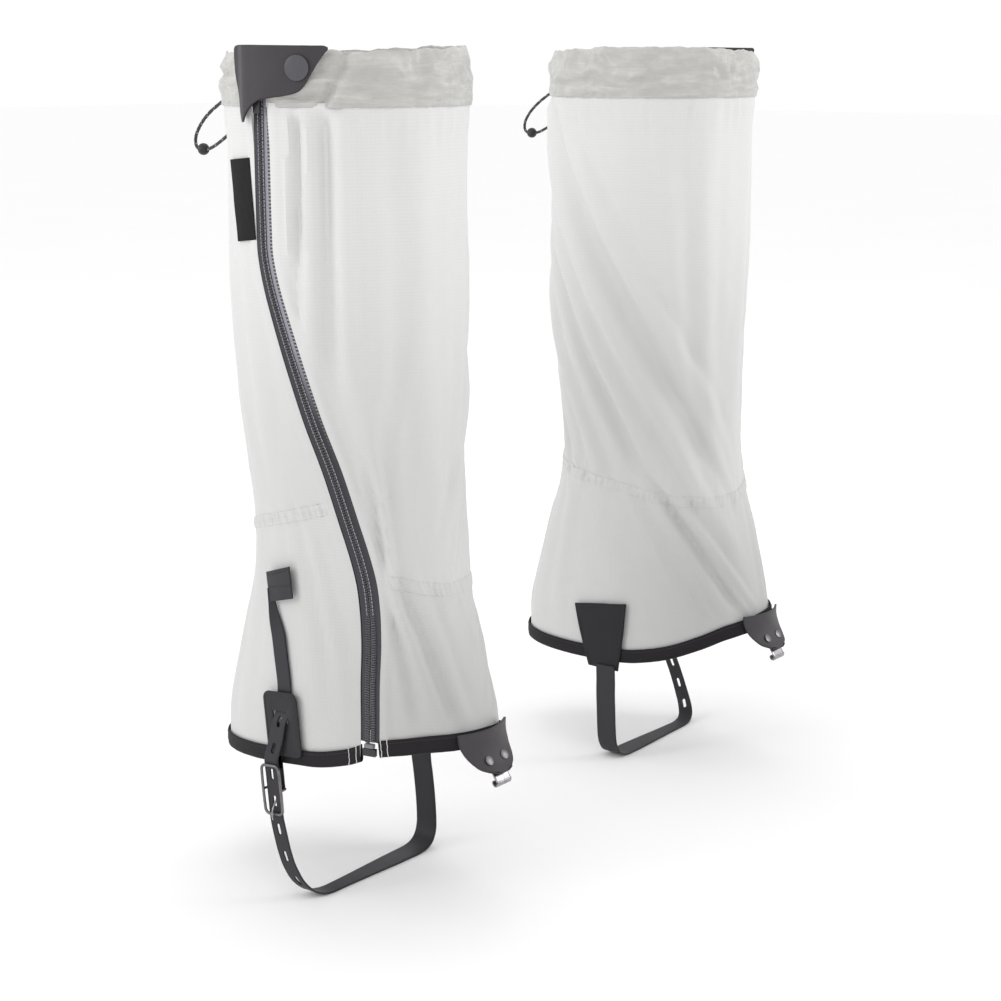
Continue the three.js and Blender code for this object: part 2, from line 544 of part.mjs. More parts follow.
// The anchor is sewn to the sleeve, lets the strap pass through its slot, and its tongue ends in a loop
// round the buckle's middle bar, split in the middle for the prong.
function anchorPatch() {
  const seat = sideSeat(ANCHOR_CENTRE, LEAN);
  const plate = roundedPlate(ANCHOR_WIDTH, ANCHOR_HEIGHT, 5, 4, ANCHOR_THICKNESS).applyMatrix4(seat);
  const slot = box(2 * STRAP_HALF_WIDTH + 1.2, SLOT_LENGTH, 6, 0, 0, 0)
    .applyMatrix4(sideSeat(new THREE.Vector3(-53, 13, ANCHOR_CENTRE.z + SLOT_UP), LEAN));
  const back = -BAR_SETBACK - LOOP_OUTER;
  const tongue = box(LOOP_WIDTH, 24, 1.1, 0, 12, back + 0.55).applyMatrix4(buckleSeat());
  const loop = rod(LOOP_OUTER, LOOP_WIDTH, 14).rotateY(Math.PI / 2).translate(0, 0, -BAR_SETBACK)
    .applyMatrix4(buckleSeat());
  const bore = rod(LOOP_BORE, LOOP_WIDTH + 2, 14).rotateY(Math.PI / 2).translate(0, 0, -BAR_SETBACK)
    .applyMatrix4(buckleSeat());
  const prongSlot = box(3, 9, 8, 0, 1, -BAR_SETBACK).applyMatrix4(buckleSeat());
  return cut(joined(plate, tongue, loop), slot, bore, prongSlot);
}

// ---- Buckle ----
function buckleFrame() {
  const [w, h, r] = [FRAME_HALF_WIDTH, FRAME_HALF_HEIGHT, 3];
  const loop = new THREE.Path();
  loop.moveTo(w, 0);
  loop.lineTo(w, h - r);
  loop.absarc(w - r, h - r, r, 0, Math.PI / 2);
  loop.absarc(-w + r, h - r, r, Math.PI / 2, Math.PI);
  loop.absarc(-w + r, -h + r, r, Math.PI, Math.PI * 1.5);
  loop.absarc(w - r, -h + r, r, Math.PI * 1.5, Math.PI * 2);
  loop.closePath();
  const out = STRAP_THICKNESS / 2 + GAP + FRAME_WIRE;
  const stations = 28;
  const ring = new THREE.TorusGeometry(10, 1, 8, stations);
  const corner = ring.getAttribute('position');
  for (let i = 0; i < corner.count; i += 1) {
    const [x, y] = [corner.getX(i), corner.getY(i)];
    const station = Math.round(((Math.atan2(y, x) / (2 * Math.PI) + 1) % 1) * stations) % stations;
    const centre = loop.getPointAt(station / stations);
    const tangent = loop.getTangentAt(station / stations);
    const spread = (Math.hypot(x, y) - 10) * FRAME_WIRE;
    corner.setXYZ(i, centre.x + tangent.y * spread, centre.y - tangent.x * spread, out + corner.getZ(i) * FRAME_WIRE);
  }
  const bar = tube([[-w, 0, out], [-w, 0, out - 2], [-w, 0, -BAR_SETBACK + 1], [-w + 0.9, 0, -BAR_SETBACK],
    [-3, 0, -BAR_SETBACK], [3, 0, -BAR_SETBACK], [w - 0.9, 0, -BAR_SETBACK], [w, 0, -BAR_SETBACK + 1],
    [w, 0, out - 2], [w, 0, out]], BAR_WIRE, 8, 18);
  return joined(ring, bar).applyMatrix4(buckleSeat());
}

function buckleProng() {
  const bore = BAR_WIRE + 0.25;
  const eye = lathe([[bore, -1], [bore + 0.95, -1], [bore + 0.95, 1], [bore, 1], [bore, -1]], 12)
    .rotateY(Math.PI / 2).translate(0, 0, -BAR_SETBACK);
  const tongue = tube([[0, -1.72, -BAR_SETBACK], [0, -4, -2.6], [0, -6.4, -1.3], [0, -9, 0.6], [0, -12, 2.8],
    [0, -15.2, 3.75], [0, -18.5, 3.75]], PRONG_WIRE, 8, 10);
  return joined(eye, tongue).applyMatrix4(buckleSeat());
}

function medialPatch() {
  const inner = FABRIC + 2 * GAP + TRIM;
  return sleevePatch([[-3.8, 66], [6.8, 66], [14.9, 110], [-7.2, 117]], inner, TRIM, 6, 4);
}

// ---- Toe tab ----
// Inner face of the tab on its middle line, its half-width and how far its sides fall back, by share of
// the way down.
const TAB_SHAPE = [
  { down: 0, y: -104, z: 115, half: 22, sag: 6.6 },
  { down: 0.25, y: -104.3, z: 107.8, half: 21.4, sag: 6.6 },
  { down: 0.5, y: -106.4, z: 100.8, half: 19.4, sag: 6 },
  { down: 0.75, y: -110.4, z: 94.6, half: 15.6, sag: 5 },
  { down: 0.92, y: -113.9, z: 90.8, half: 10.8, sag: 4 },
  { down: 1, y: -115.6, z: 89.1, half: 6.8, sag: 4 },
];
const tab = (down, column) => along(TAB_SHAPE, 'down', down, column);

// Local axes on the tab's middle line: X across, Y up the tab, Z outwards.
function tabSeat(x, down, off) {
  const up = new THREE.Vector3(0, tab(down - 0.02, 'y') - tab(down + 0.02, 'y'), tab(down - 0.02, 'z') - tab(down + 0.02, 'z'));
  up.normalize();
  const outward = new THREE.Vector3(1, 0, 0).cross(up);
  const fall = tab(down, 'sag') * (x / TAB_HALF_WIDTH) ** 2;
  const point = new THREE.Vector3(x, tab(down, 'y') + fall, tab(down, 'z')).addScaledVector(outward, off);
  return new THREE.Matrix4().makeBasis(new THREE.Vector3(1, 0, 0), up, outward).setPosition(point);
}

const RIVET_DOWN = 0.66;
const HOOK_OFF = -GAP - 0.65 - HOOK_SHEET;

function rivetHoles(radius) {
  return [-1, 1].map((side) => rod(radius, 12, 12).applyMatrix4(tabSeat((side * RIVET_SPACING) / 2, RIVET_DOWN, 0)));
}

function toeTab() {
  const tongue = bentBlock(8, 6, (u, v, w) => {
    const down = THREE.MathUtils.clamp(1 - v, 0.02, 0.98);
    const x = (u - 0.5) * 2 * tab(1 - v, 'half');
    return new THREE.Vector3(0, 0, w * TAB_THICKNESS).applyMatrix4(tabSeat(x, down, 0));
  });
  return cut(tongue, ...rivetHoles(RIVET_SHANK + 0.3));
}

// The lace hook is a bent sheet riveted behind the tab, rolled back under its tip.
function laceHook() {
  const outline = [
    [HOOK_OFF, 9], [HOOK_OFF, -12.6], [HOOK_OFF + 0.2, -13.8], [HOOK_OFF - 0.6, -15.2], [HOOK_OFF - 2, -15.6],
    [HOOK_OFF - 3.2, -14.9], [HOOK_OFF - 3.6, -13.4], [HOOK_OFF - 3.6, -10.6],
  ];
  const sheet = new THREE.Shape();
  const offset = (i, side) => {
    const [before, after] = [outline[Math.max(i - 1, 0)], outline[Math.min(i + 1, outline.length - 1)]];
    const run = new THREE.Vector2(after[0] - before[0], after[1] - before[1]).normalize();
    const shift = side * (HOOK_SHEET / 2);
    return [outline[i][0] - run.y * shift, outline[i][1] + run.x * shift];
  };
  outline.forEach((_, i) => (i === 0 ? sheet.moveTo(...offset(0, 1)) : sheet.lineTo(...offset(i, 1))));
  for (let i = outline.length - 1; i >= 0; i -= 1) sheet.lineTo(...offset(i, -1));
  sheet.closePath();
  const bent = new THREE.ExtrudeGeometry(sheet, { depth: HOOK_WIDTH, bevelEnabled: false })
    .translate(0, 0, -HOOK_WIDTH / 2).rotateY(-Math.PI / 2);
  return cut(bent.applyMatrix4(tabSeat(0, RIVET_DOWN, 0)), ...rivetHoles(RIVET_SHANK + 0.3));
}

function rivet(side) {
  const [shank, head, bore] = [RIVET_SHANK, 3, 0.9];
  const front = TAB_THICKNESS + 0.6;
  const back = HOOK_OFF - HOOK_SHEET / 2 - 0.6 - GAP;
  const outline = [[bore, back], [2.5, back], [2.5, back + 0.6], [shank, back + 0.6], [shank, front],
    [head, front], [head * 0.85, front + 0.6], [head * 0.5, front + 0.7], [bore, front + 0.4], [bore, back]];
  return lathe(outline, 10).applyMatrix4(tabSeat((side * RIVET_SPACING) / 2, RIVET_DOWN, 0));
}

// ---- Drawcord ----
const CORD_EXIT_Y = SECTIONS[SECTIONS.length - 1].along + CHANNEL_OUTER + 0.3;
const BEAD_CENTRE = [-8, 105.9, 442];
const CORD_LINE = [
  [-6, CORD_EXIT_Y, 480], [-6.4, 76.5, 476], [-7, 81.5, 471], [-7.4, 87, 467], [-7.7, 94, 463.6], [-8, 101.4, 459.7],
  [-8, 107.4, 455.2], [-8, 111.3, 450.6], [-8, 112.5, 446.6], [-8, 111.6, 443.4], [-8, 109.4, 442.1],
  BEAD_CENTRE, [-8, 102.4, 442.1], [-8.2, 99, 443], [-8.4, 94.5, 445], [-8.6, 87.5, 448.8], [-8.9, 81, 454],
  [-9.3, 77.6, 460], [-9.6, 76.4, 466.5], [-9.8, 75.4, 471.5], [-10, CORD_EXIT_Y, 474.6],
];

function cordBead() {
  const bore = CORD_RADIUS + 0.5;
  const end = Math.acos(bore / BEAD_RADIUS);
  const outline = [];
  for (let i = 0; i <= 6; i += 1) {
    const turn = mix(-end, end, i / 6);
    outline.push([BEAD_RADIUS * Math.cos(turn), BEAD_RADIUS * Math.sin(turn)]);
  }
  return lathe([...outline, outline[0]], 12).rotateX(Math.PI / 2).translate(...BEAD_CENTRE);
}

// ---- Assembly ----
const PIECES = [
  ['upper_front_panel', upperFrontPanel(), PALE_FABRIC],
  ['upper_rear_panel', upperRearPanel(), PALE_FABRIC],
  ['lower_front_panel', lowerFrontPanel(), GREY_FABRIC],
  ['lower_rear_panel', lowerRearPanel(), GREY_FABRIC],
  ['top_channel', topChannel(), CHANNEL_FABRIC],
  ['ankle_elastic_front', ankleElastic(zipFrontEdge, seamFront, ankleFrontZ, FRONT_CELLS), GREY_FABRIC],
  ['ankle_elastic_rear', ankleElastic(seamRear, zipRearEdge, ankleRearZ, REAR_CELLS), GREY_FABRIC],
  ['hem_binding', hemBinding(), BINDING_TAPE],
  ['zip_stringer_front', zipStringer(1), ZIP_TAPE],
  ['zip_stringer_rear', zipStringer(-1), ZIP_TAPE],
  ['zip_box', zipBox(), ZIP_TAPE],
  ['zip_slider', zipSlider(), ZIP_TAPE],
  ['zip_pull', zipPull(), ZIP_TAPE],
  ['top_flap', topFlap(), LEATHERETTE],
  ['snap_cap', snapCap(), SNAP_PAINT],
  ['snap_socket', snapSocket(), SNAP_PAINT],
  ['snap_stud', snapStud(), SNAP_PAINT],
  ['side_label', sleevePatch([[159.5, 395], [175, 397.3], [172, 442.5], [153, 440.5]], FABRIC + GAP,
    LABEL_THICKNESS, 6, 2), LABEL_BLACK],
  ['keeper_tab', keeperTab(), STRAP_RUBBER],
  ['instep_strap', instepStrap(), STRAP_RUBBER],
  ['anchor_patch', anchorPatch(), STRAP_RUBBER],
  ['buckle_frame', buckleFrame(), STEEL],
  ['buckle_prong', buckleProng(), STEEL],
  ['medial_patch', medialPatch(), STRAP_RUBBER],
  ['toe_tab', toeTab(), LEATHERETTE],
  ['lace_hook', laceHook(), STEEL],
  ['rivet_outer', rivet(-1), STEEL],
  ['rivet_inner', rivet(1), STEEL],
  ['drawcord', tube(CORD_LINE, CORD_RADIUS, 8, 44), CORD_TEXTILE],
  ['cord_bead', cordBead(), BEAD_PLASTIC],
];

// The other gaiter of the pair: mirrored across the middle plane, with its faces turned back outwards.
function mirrored(geometry) {
  const copy = geometry.getIndex() ? geometry.clone() : mergeVertices(geometry);
  return reversed(copy.scale(-1, 1, 1));
}

function mesh(name, geometry, material, x) {
  const piece = new THREE.Mesh(geometry, material);
  piece.name = name;
  piece.position.x = x;
  return piece;
}

const pair = new THREE.Group();
for (const [name, geometry, material] of PIECES) {
  pair.add(mesh(`right_${name}`, geometry, material, -LEG_AXIS_X));
  pair.add(mesh(`left_${name}`, mirrored(geometry), material, LEG_AXIS_X));
}

export default pair;
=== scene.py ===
"""A pair of knee-high gaiters as they sit when worn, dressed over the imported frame.

Every piece is made for the right gaiter, in millimetres about its own leg axis, and placed in metres in
the row frame. The left gaiter is its mirror image. "Around" is an angle about the leg axis in degrees:
0 is the inner side of the leg, 90 the heel, 180 the outer side and 270 the toe. Heights are from the
ground, and every length is in mm unless its comment says otherwise.
"""
import bisect
import logging
import math
from dataclasses import dataclass
from enum import Enum
from typing import Callable, Iterable, Sequence

import bmesh
import bpy
from mathutils import Matrix, Vector, noise

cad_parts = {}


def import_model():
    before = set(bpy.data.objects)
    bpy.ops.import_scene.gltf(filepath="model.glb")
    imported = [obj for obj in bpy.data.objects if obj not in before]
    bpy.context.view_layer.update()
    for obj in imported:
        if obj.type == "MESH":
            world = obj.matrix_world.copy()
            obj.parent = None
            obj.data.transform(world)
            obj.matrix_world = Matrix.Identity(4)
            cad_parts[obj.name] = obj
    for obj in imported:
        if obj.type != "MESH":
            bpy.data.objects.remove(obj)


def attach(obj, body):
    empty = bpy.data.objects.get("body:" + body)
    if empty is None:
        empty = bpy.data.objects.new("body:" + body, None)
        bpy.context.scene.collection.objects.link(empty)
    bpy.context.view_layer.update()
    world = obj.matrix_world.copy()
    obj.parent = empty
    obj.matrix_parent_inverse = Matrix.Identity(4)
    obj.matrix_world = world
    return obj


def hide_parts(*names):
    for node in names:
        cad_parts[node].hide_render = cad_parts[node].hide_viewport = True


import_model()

log = logging.getLogger("gaiters")
MM = 0.001
LEG_AXIS_X = 157.0
FABRIC = 0.34      # thickness of the fabric
# length of cloth in a degree round the leg, roughly, at the calf, the ankle and the hem
CALF_ARC, ANKLE_ARC, HEM_ARC = 1.2, 1.15, 1.4
FLAT_ARC = 1.19    # the same on the cut cloth
Row = tuple[float, ...]
Spot = tuple[float, float, float]
Piece = bpy.types.Object
Material = bpy.types.Material


# ---------------------------------------------------------------- measures
def lerp(a: float, b: float, t: float) -> float:
    """Value a share t of the way from a to b."""
    return a + (b - a) * t


def smooth(low: float, high: float, value: float) -> float:
    """Smooth step from 0 at low to 1 at high; low may be the larger."""
    t = min(max((value - low) / (high - low), 0.0), 1.0)
    return t * t * (3.0 - 2.0 * t)


def bump(value: float, centre: float, width: float) -> float:
    """Bell of height 1 about centre, near zero beyond twice the width."""
    return math.exp(-(((value - centre) / width) ** 2))


def fuzz(x: float, y: float, z: float = 0.0) -> float:
    """Repeatable smooth noise from about -1 to 1."""
    return noise.noise(Vector((x, y, z)))


def curve_at(rows: Sequence[Row], at: float, column: int = 1) -> float:
    """Smooth value of one column of rows sorted by their first.

    Args:
        rows: Rows of numbers, sorted by the first of each.
        at: Where to read.
        column: Which number of the rows to read.

    Returns:
        The value, constant beyond the first and last rows.
    """
    keys = [row[0] for row in rows]
    i = min(max(bisect.bisect_left(keys, at), 1), len(rows) - 1)
    a, b = rows[i - 1], rows[i]

    def slope(r: int) -> float:
        """Slope at a row, from its neighbours."""
        lo, hi = rows[max(r - 1, 0)], rows[min(r + 1, len(rows) - 1)]
        return (hi[column] - lo[column]) / (hi[0] - lo[0])

    step = b[0] - a[0]
    s = min(max((at - a[0]) / step, 0.0), 1.0)
    s2, s3 = s * s, s * s * s
    return (a[column] * (2 * s3 - 3 * s2 + 1) + b[column] * (3 * s2 - 2 * s3)
            + step * (slope(i - 1) * (s3 - 2 * s2 + s) + slope(i) * (s3 - s2)))


def spline(points: Sequence[Vector], per_span: int) -> list[Vector]:
    """Points along a smooth curve through the given ones.

    Args:
        points: What the curve passes through.
        per_span: Steps between two given points.

    Returns:
        The curve's points, ends included.
    """
    out: list[Vector] = []
    for i in range(len(points) - 1):
        p0, p1 = points[max(i - 1, 0)], points[i]
        p2, p3 = points[i + 1], points[min(i + 2, len(points) - 1)]
        for step in range(per_span):
            t = step / per_span
            out.append(0.5 * ((2 * p1) + (p2 - p0) * t + (2 * p0 - 5 * p1 + 4 * p2 - p3) * t * t
                              + (3 * p1 - p0 - 3 * p2 + p3) * t ** 3))
    return [*out, points[-1].copy()]


def world(point: Vector) -> Vector:
    """A point of the right gaiter, in mm about its leg axis, in metres in the row frame."""
    return Vector((point.x - LEG_AXIS_X, point.y, point.z)) * MM


# ---------------------------------------------------------------- the sleeve
def signed_power(value: float, power: float) -> float:
    """The value raised to a power, keeping its sign."""
    return math.copysign(abs(value) ** power, value)


@dataclass(frozen=True)
class Sleeve:
    """The shape that the fabric takes round the leg, its zip line, hem and ankle lines, in mm."""

    # height, half-width across, half-length fore and aft, shift to the toe, squareness
    sections: tuple[Row, ...] = (
        (60, 50, 99, -4, 2.35), (100, 50, 97, -4, 2.33), (140, 49.5, 87, -4, 2.25), (165, 50, 80, -4, 2.18),
        (190, 51.5, 71.5, -4, 2.1), (225, 54, 66.5, -3.5, 2), (260, 59, 66.6, -2, 2), (300, 64.5, 67.2, -0.5, 2),
        (360, 69, 69, 0, 2), (400, 69, 69, 0, 2), (500, 69, 69, 0, 2))
    zip_line: tuple[Row, ...] = (
        (90, 205), (140, 210), (168, 214.5), (185, 217.3), (200, 218), (215, 216.5), (236, 213), (268, 207.5),
        (296, 201.2), (320, 195.8), (353, 188.2), (380, 182), (395, 180), (500, 180))
    hem_line: tuple[Row, ...] = (
        (0, 71.5), (30, 69.5), (60, 69), (90, 70), (120, 72), (150, 76), (180, 83), (195, 90), (208, 98),
        (225, 102.5), (240, 104.5), (270, 104), (300, 98.5), (318, 90), (335, 80.5), (350, 74), (360, 71.5),
        (390, 69.5), (420, 69), (450, 70))
    ankle_rear: tuple[Row, ...] = ((75, 211), (128, 222), (156, 230), (225, 252))
    ankle_front: tuple[Row, ...] = (
        (200, 209), (223, 204.5), (262, 195), (294, 193), (330, 196), (360, 203), (390, 206.5), (435, 211))
    channel_foot: float = 470.4
    rear_seam: float = 75.0

    def point(self, around: float, z: float, off: float) -> Vector:
        """A point beside the sleeve.

        Args:
            around: Where round the leg.
            z: Height.
            off: How far outside the fabric's inner face.

        Returns:
            The point, in mm.
        """
        angle = math.radians(around)
        half, length, shift, power = (curve_at(self.sections, z, c) for c in (1, 2, 3, 4))
        x = half * signed_power(math.cos(angle), 2 / power)
        y = length * signed_power(math.sin(angle), 2 / power)
        nx, ny = signed_power(x / half, power - 1) / half, signed_power(y / length, power - 1) / length
        size = math.hypot(nx, ny)
        return Vector((x + off * nx / size, y + shift + off * ny / size, z))

    def normal(self, around: float, z: float) -> Vector:
        """Outward direction, level."""
        return (self.point(around, z, 1.0) - self.point(around, z, 0.0)).normalized()

    def per_degree(self, around: float, z: float) -> float:
        """Length of fabric in a degree round the leg."""
        return (self.point(around + 0.5, z, 0) - self.point(around - 0.5, z, 0)).length

    def zip_at(self, z: float) -> float:
        """Around position of the zip's middle."""
        return curve_at(self.zip_line, z)

    def beside_zip(self, z: float, reach: float) -> float:
        """Around position reach mm to the toe side of the zip's middle."""
        middle = self.zip_at(z)
        return middle + reach / self.per_degree(middle, z)

    def hem(self, around: float) -> float:
        """Height of the hem's lower edge."""
        return curve_at(self.hem_line, around if around <= 450 else around - 360)

    def ankle(self, around: float, front: bool) -> float:
        """Height of the gathered ankle line, in front of the zip or behind it."""
        return curve_at(self.ankle_front if front else self.ankle_rear, around)


SLEEVE = Sleeve()


@dataclass(frozen=True)
class Fold:
    """One soft fold that runs down the cloth from one place to another."""

    start: tuple[float, float]
    end: tuple[float, float]
    height: float
    width: float
    bow: float = 0.0

    def at(self, around: float, z: float) -> float:
        """Its height at a place on the sleeve.

        Args:
            around: Where round the leg.
            z: Height.

        Returns:
            How far it lifts the cloth, below zero in a hollow.
        """
        (a0, z0), (a1, z1) = self.start, self.end
        t = (z0 - z) / (z0 - z1)
        if not -0.35 < t < 1.35:
            return 0.0
        middle = lerp(a0, a1, t) + self.bow * math.sin(math.pi * min(max(t, 0), 1))
        reach = (around - middle + 180) % 360 - 180
        fade = smooth(-0.35, 0.18, t) * smooth(1.35, 0.8, t)
        side = reach * 1.15 / self.width
        if abs(side) > 3.2:
            return 0.0
        return self.height * fade * (math.exp(-side * side) - 0.45 * math.exp(-((abs(side) - 1.5) ** 2) * 2.2))


@dataclass(frozen=True)
class Drape:
    """How the cloth lies off the smooth sleeve: long folds, gathers and small creases."""

    folds: tuple[Fold, ...] = (
        # beside the zip on the outer side
        Fold((198.5, 470), (198, 395), -2.6, 3.6), Fold((204.5, 470), (202, 330), 2.5, 4.6, 1.0),
        Fold((212.5, 468), (213, 330), -2.0, 4.6), Fold((220, 466), (222, 350), 1.5, 5.5),
        Fold((240, 470), (246, 300), -0.9, 9.0, 3.0), Fold((258, 466), (262, 280), 0.9, 10.0, -3.0),
        Fold((222, 330), (231, 222), 1.0, 6.0, 2.0), Fold((243, 320), (231, 222), -1.0, 6.0, -2.0),
        Fold((226, 268), (228, 212), -1.4, 3.2), Fold((232, 262), (233, 210), 1.2, 3.4),
        Fold((166, 400), (172, 300), 0.9, 7.0), Fold((150, 440), (158, 280), -0.9, 8.0),
        # lower front, fanning from the ankle line to the hem
        Fold((227, 200), (231, 118), -1.5, 4.2), Fold((231, 200), (243, 112), 1.4, 4.6),
        Fold((236, 200), (254, 112), -1.2, 4.8), Fold((247, 198), (262, 112), 0.9, 5.0),
        Fold((189, 222), (196, 105), 1.0, 5.0, 2.5), Fold((183, 226), (188, 110), -1.2, 5.0, 3.0),
        # rear and heel
        Fold((120, 470), (128, 240), 0.9, 9.0), Fold((100, 455), (104, 225), -0.9, 8.0, 4.0),
        Fold((122, 210), (116, 90), -1.0, 8.0), Fold((142, 222), (146, 90), 0.8, 7.0),
        # long diagonals on the inner side
        Fold((62, 462), (-52, 215), 4.4, 7.5, -4.0), Fold((47, 470), (-62, 235), -3.8, 7.0, -2.0),
        Fold((78, 430), (-20, 215), -3.4, 6.5, -6.0), Fold((84, 380), (8, 212), 2.8, 6.5, -6.0),
        Fold((30, 470), (-70, 260), 1.9, 7.0, 2.0), Fold((88, 320), (35, 210), -1.9, 6.0, -3.0),
        Fold((-35, 194), (-74, 112), -2.0, 4.6, 2.0), Fold((-28, 194), (-66, 104), 1.7, 4.8, 2.0),
        Fold((-18, 196), (-52, 98), -1.4, 5.0, 2.0), Fold((-44, 193), (-83, 122), 1.3, 4.4, 2.0),
        Fold((30, 205), (26, 90), 1.0, 7.0, 2.0), Fold((8, 200), (-14, 92), 1.0, 7.0, 2.0),
        Fold((62, 208), (66, 90), -1.0, 7.0),
        # shin
        Fold((292, 470), (286, 215), 1.0, 8.0, 4.0), Fold((312, 465), (300, 240), -1.0, 8.0, -3.0))

    def calm(self, around: float, z: float) -> float:
        """How freely the cloth moves.

        Args:
            around: Where round the leg.
            z: Height.

        Returns:
            From 1 on free cloth to near 0 under what is sewn or laid on it.
        """
        quiet = 1.0
        turn = around % 360
        zip_reach = abs(turn - SLEEVE.zip_at(z)) * 1.15
        quiet *= lerp(0.1, 1.0, smooth(7.5, 15, zip_reach))
        quiet *= 1 - 0.92 * smooth(14, 8, abs(turn - 169)) * smooth(216, 208, z)
        quiet *= 1 - 0.9 * smooth(17, 12, abs(turn - 164)) * smooth(34, 25, abs(z - 419))
        quiet *= 1 - 0.92 * smooth(22, 14, abs((turn + 177) % 360 - 180)) * smooth(126, 118, z)
        quiet *= lerp(0.25, 1.0, smooth(9, 24, z - SLEEVE.hem(around)))
        quiet *= lerp(0.12, 1.0, smooth(471, 461, z))
        return quiet

    def gathers(self, around: float, z: float) -> float:
        """Short pleats that hang from the gathered rim and spread from the ankle line.

        Args:
            around: Where round the leg.
            z: Height.

        Returns:
            How far they lift the cloth.
        """
        arc = around * CALF_ARC
        top = smooth(425, 470, z) ** 2
        pleats = fuzz(arc / 5.2, z / 120, 3.0) + 0.6 * fuzz(arc / 2.6, z / 70, 9.0)
        front = 0 <= (around - SLEEVE.zip_at(z)) % 360 < (SLEEVE.rear_seam - SLEEVE.zip_at(z)) % 360
        line = SLEEVE.ankle(around if around <= 450 else around - 360, front)
        near = math.exp(-abs(z - line) / 13.0)
        pucker = fuzz(arc / 3.1 + (z - line) * 0.05, (z - line) / 60, 21.0)
        return 1.5 * top * pleats + 1.5 * near * pucker

    def off(self, around: float, z: float) -> float:
        """All folds together.

        Args:
            around: Where round the leg.
            z: Height.

        Returns:
            How far the cloth's middle stands off the sleeve's inner face, in mm.
        """
        arc, x = around * CALF_ARC, math.radians(around)
        long_folds = sum(fold.at(around, z) for fold in self.folds)
        broad = 1.3 * fuzz(math.cos(x) * 2.1, math.sin(x) * 2.1, z / 75)
        fine = 0.35 * fuzz(arc / 13, z / 26, 5.0) + 0.16 * fuzz(arc / 5, z / 9, 15.0)
        lifted = (1.45 * long_folds + broad + 1.5 * fine + self.gathers(around, z)) * self.calm(around, z)
        swell = 1.3 * smooth(446, 468, z)
        return 0.35 + swell + lifted - 0.2 * max(lifted, 0) ** 1.2


DRAPE = Drape()


# ---------------------------------------------------------------- shaders
@dataclass
class Shade:
    """A number's socket in a node tree; arithmetic on it adds Math nodes."""

    bench: "Bench"
    socket: bpy.types.NodeSocket

    def _math(self, operation: str, a: object, b: object = None, c: object = None) -> "Shade":
        """A Math node on up to three values."""
        values = {i: v for i, v in enumerate((a, b, c)) if v is not None}
        return self.bench.add("ShaderNodeMath", {"operation": operation}, values)

    def __add__(self, other: object) -> "Shade":
        """Sum."""
        return self._math("ADD", self, other)

    def __sub__(self, other: object) -> "Shade":
        """Difference."""
        return self._math("SUBTRACT", self, other)

    def __mul__(self, other: object) -> "Shade":
        """Product."""
        return self._math("MULTIPLY", self, other)

    def __truediv__(self, other: object) -> "Shade":
        """Quotient."""
        return self._math("DIVIDE", self, other)

    def __rsub__(self, other: object) -> "Shade":
        """Difference from a number."""
        return self._math("SUBTRACT", other, self)

    def __pow__(self, other: object) -> "Shade":
        """Power."""
        return self._math("POWER", self, other)

    __radd__ = __add__
    __rmul__ = __mul__

    def apply(self, operation: str, *others: object) -> "Shade":
        """Any other Math operation, such as SINE or FRACT."""
        return self._math(operation, self, *others)

    def within(self, low: float, high: float) -> "Shade":
        """Smooth 0 to 1 as the value goes from low to high."""
        return self.bench.add("ShaderNodeMapRange", {"interpolation_type": "SMOOTHSTEP"},
                              {0: self, 1: low, 2: high, 3: 0.0, 4: 1.0})


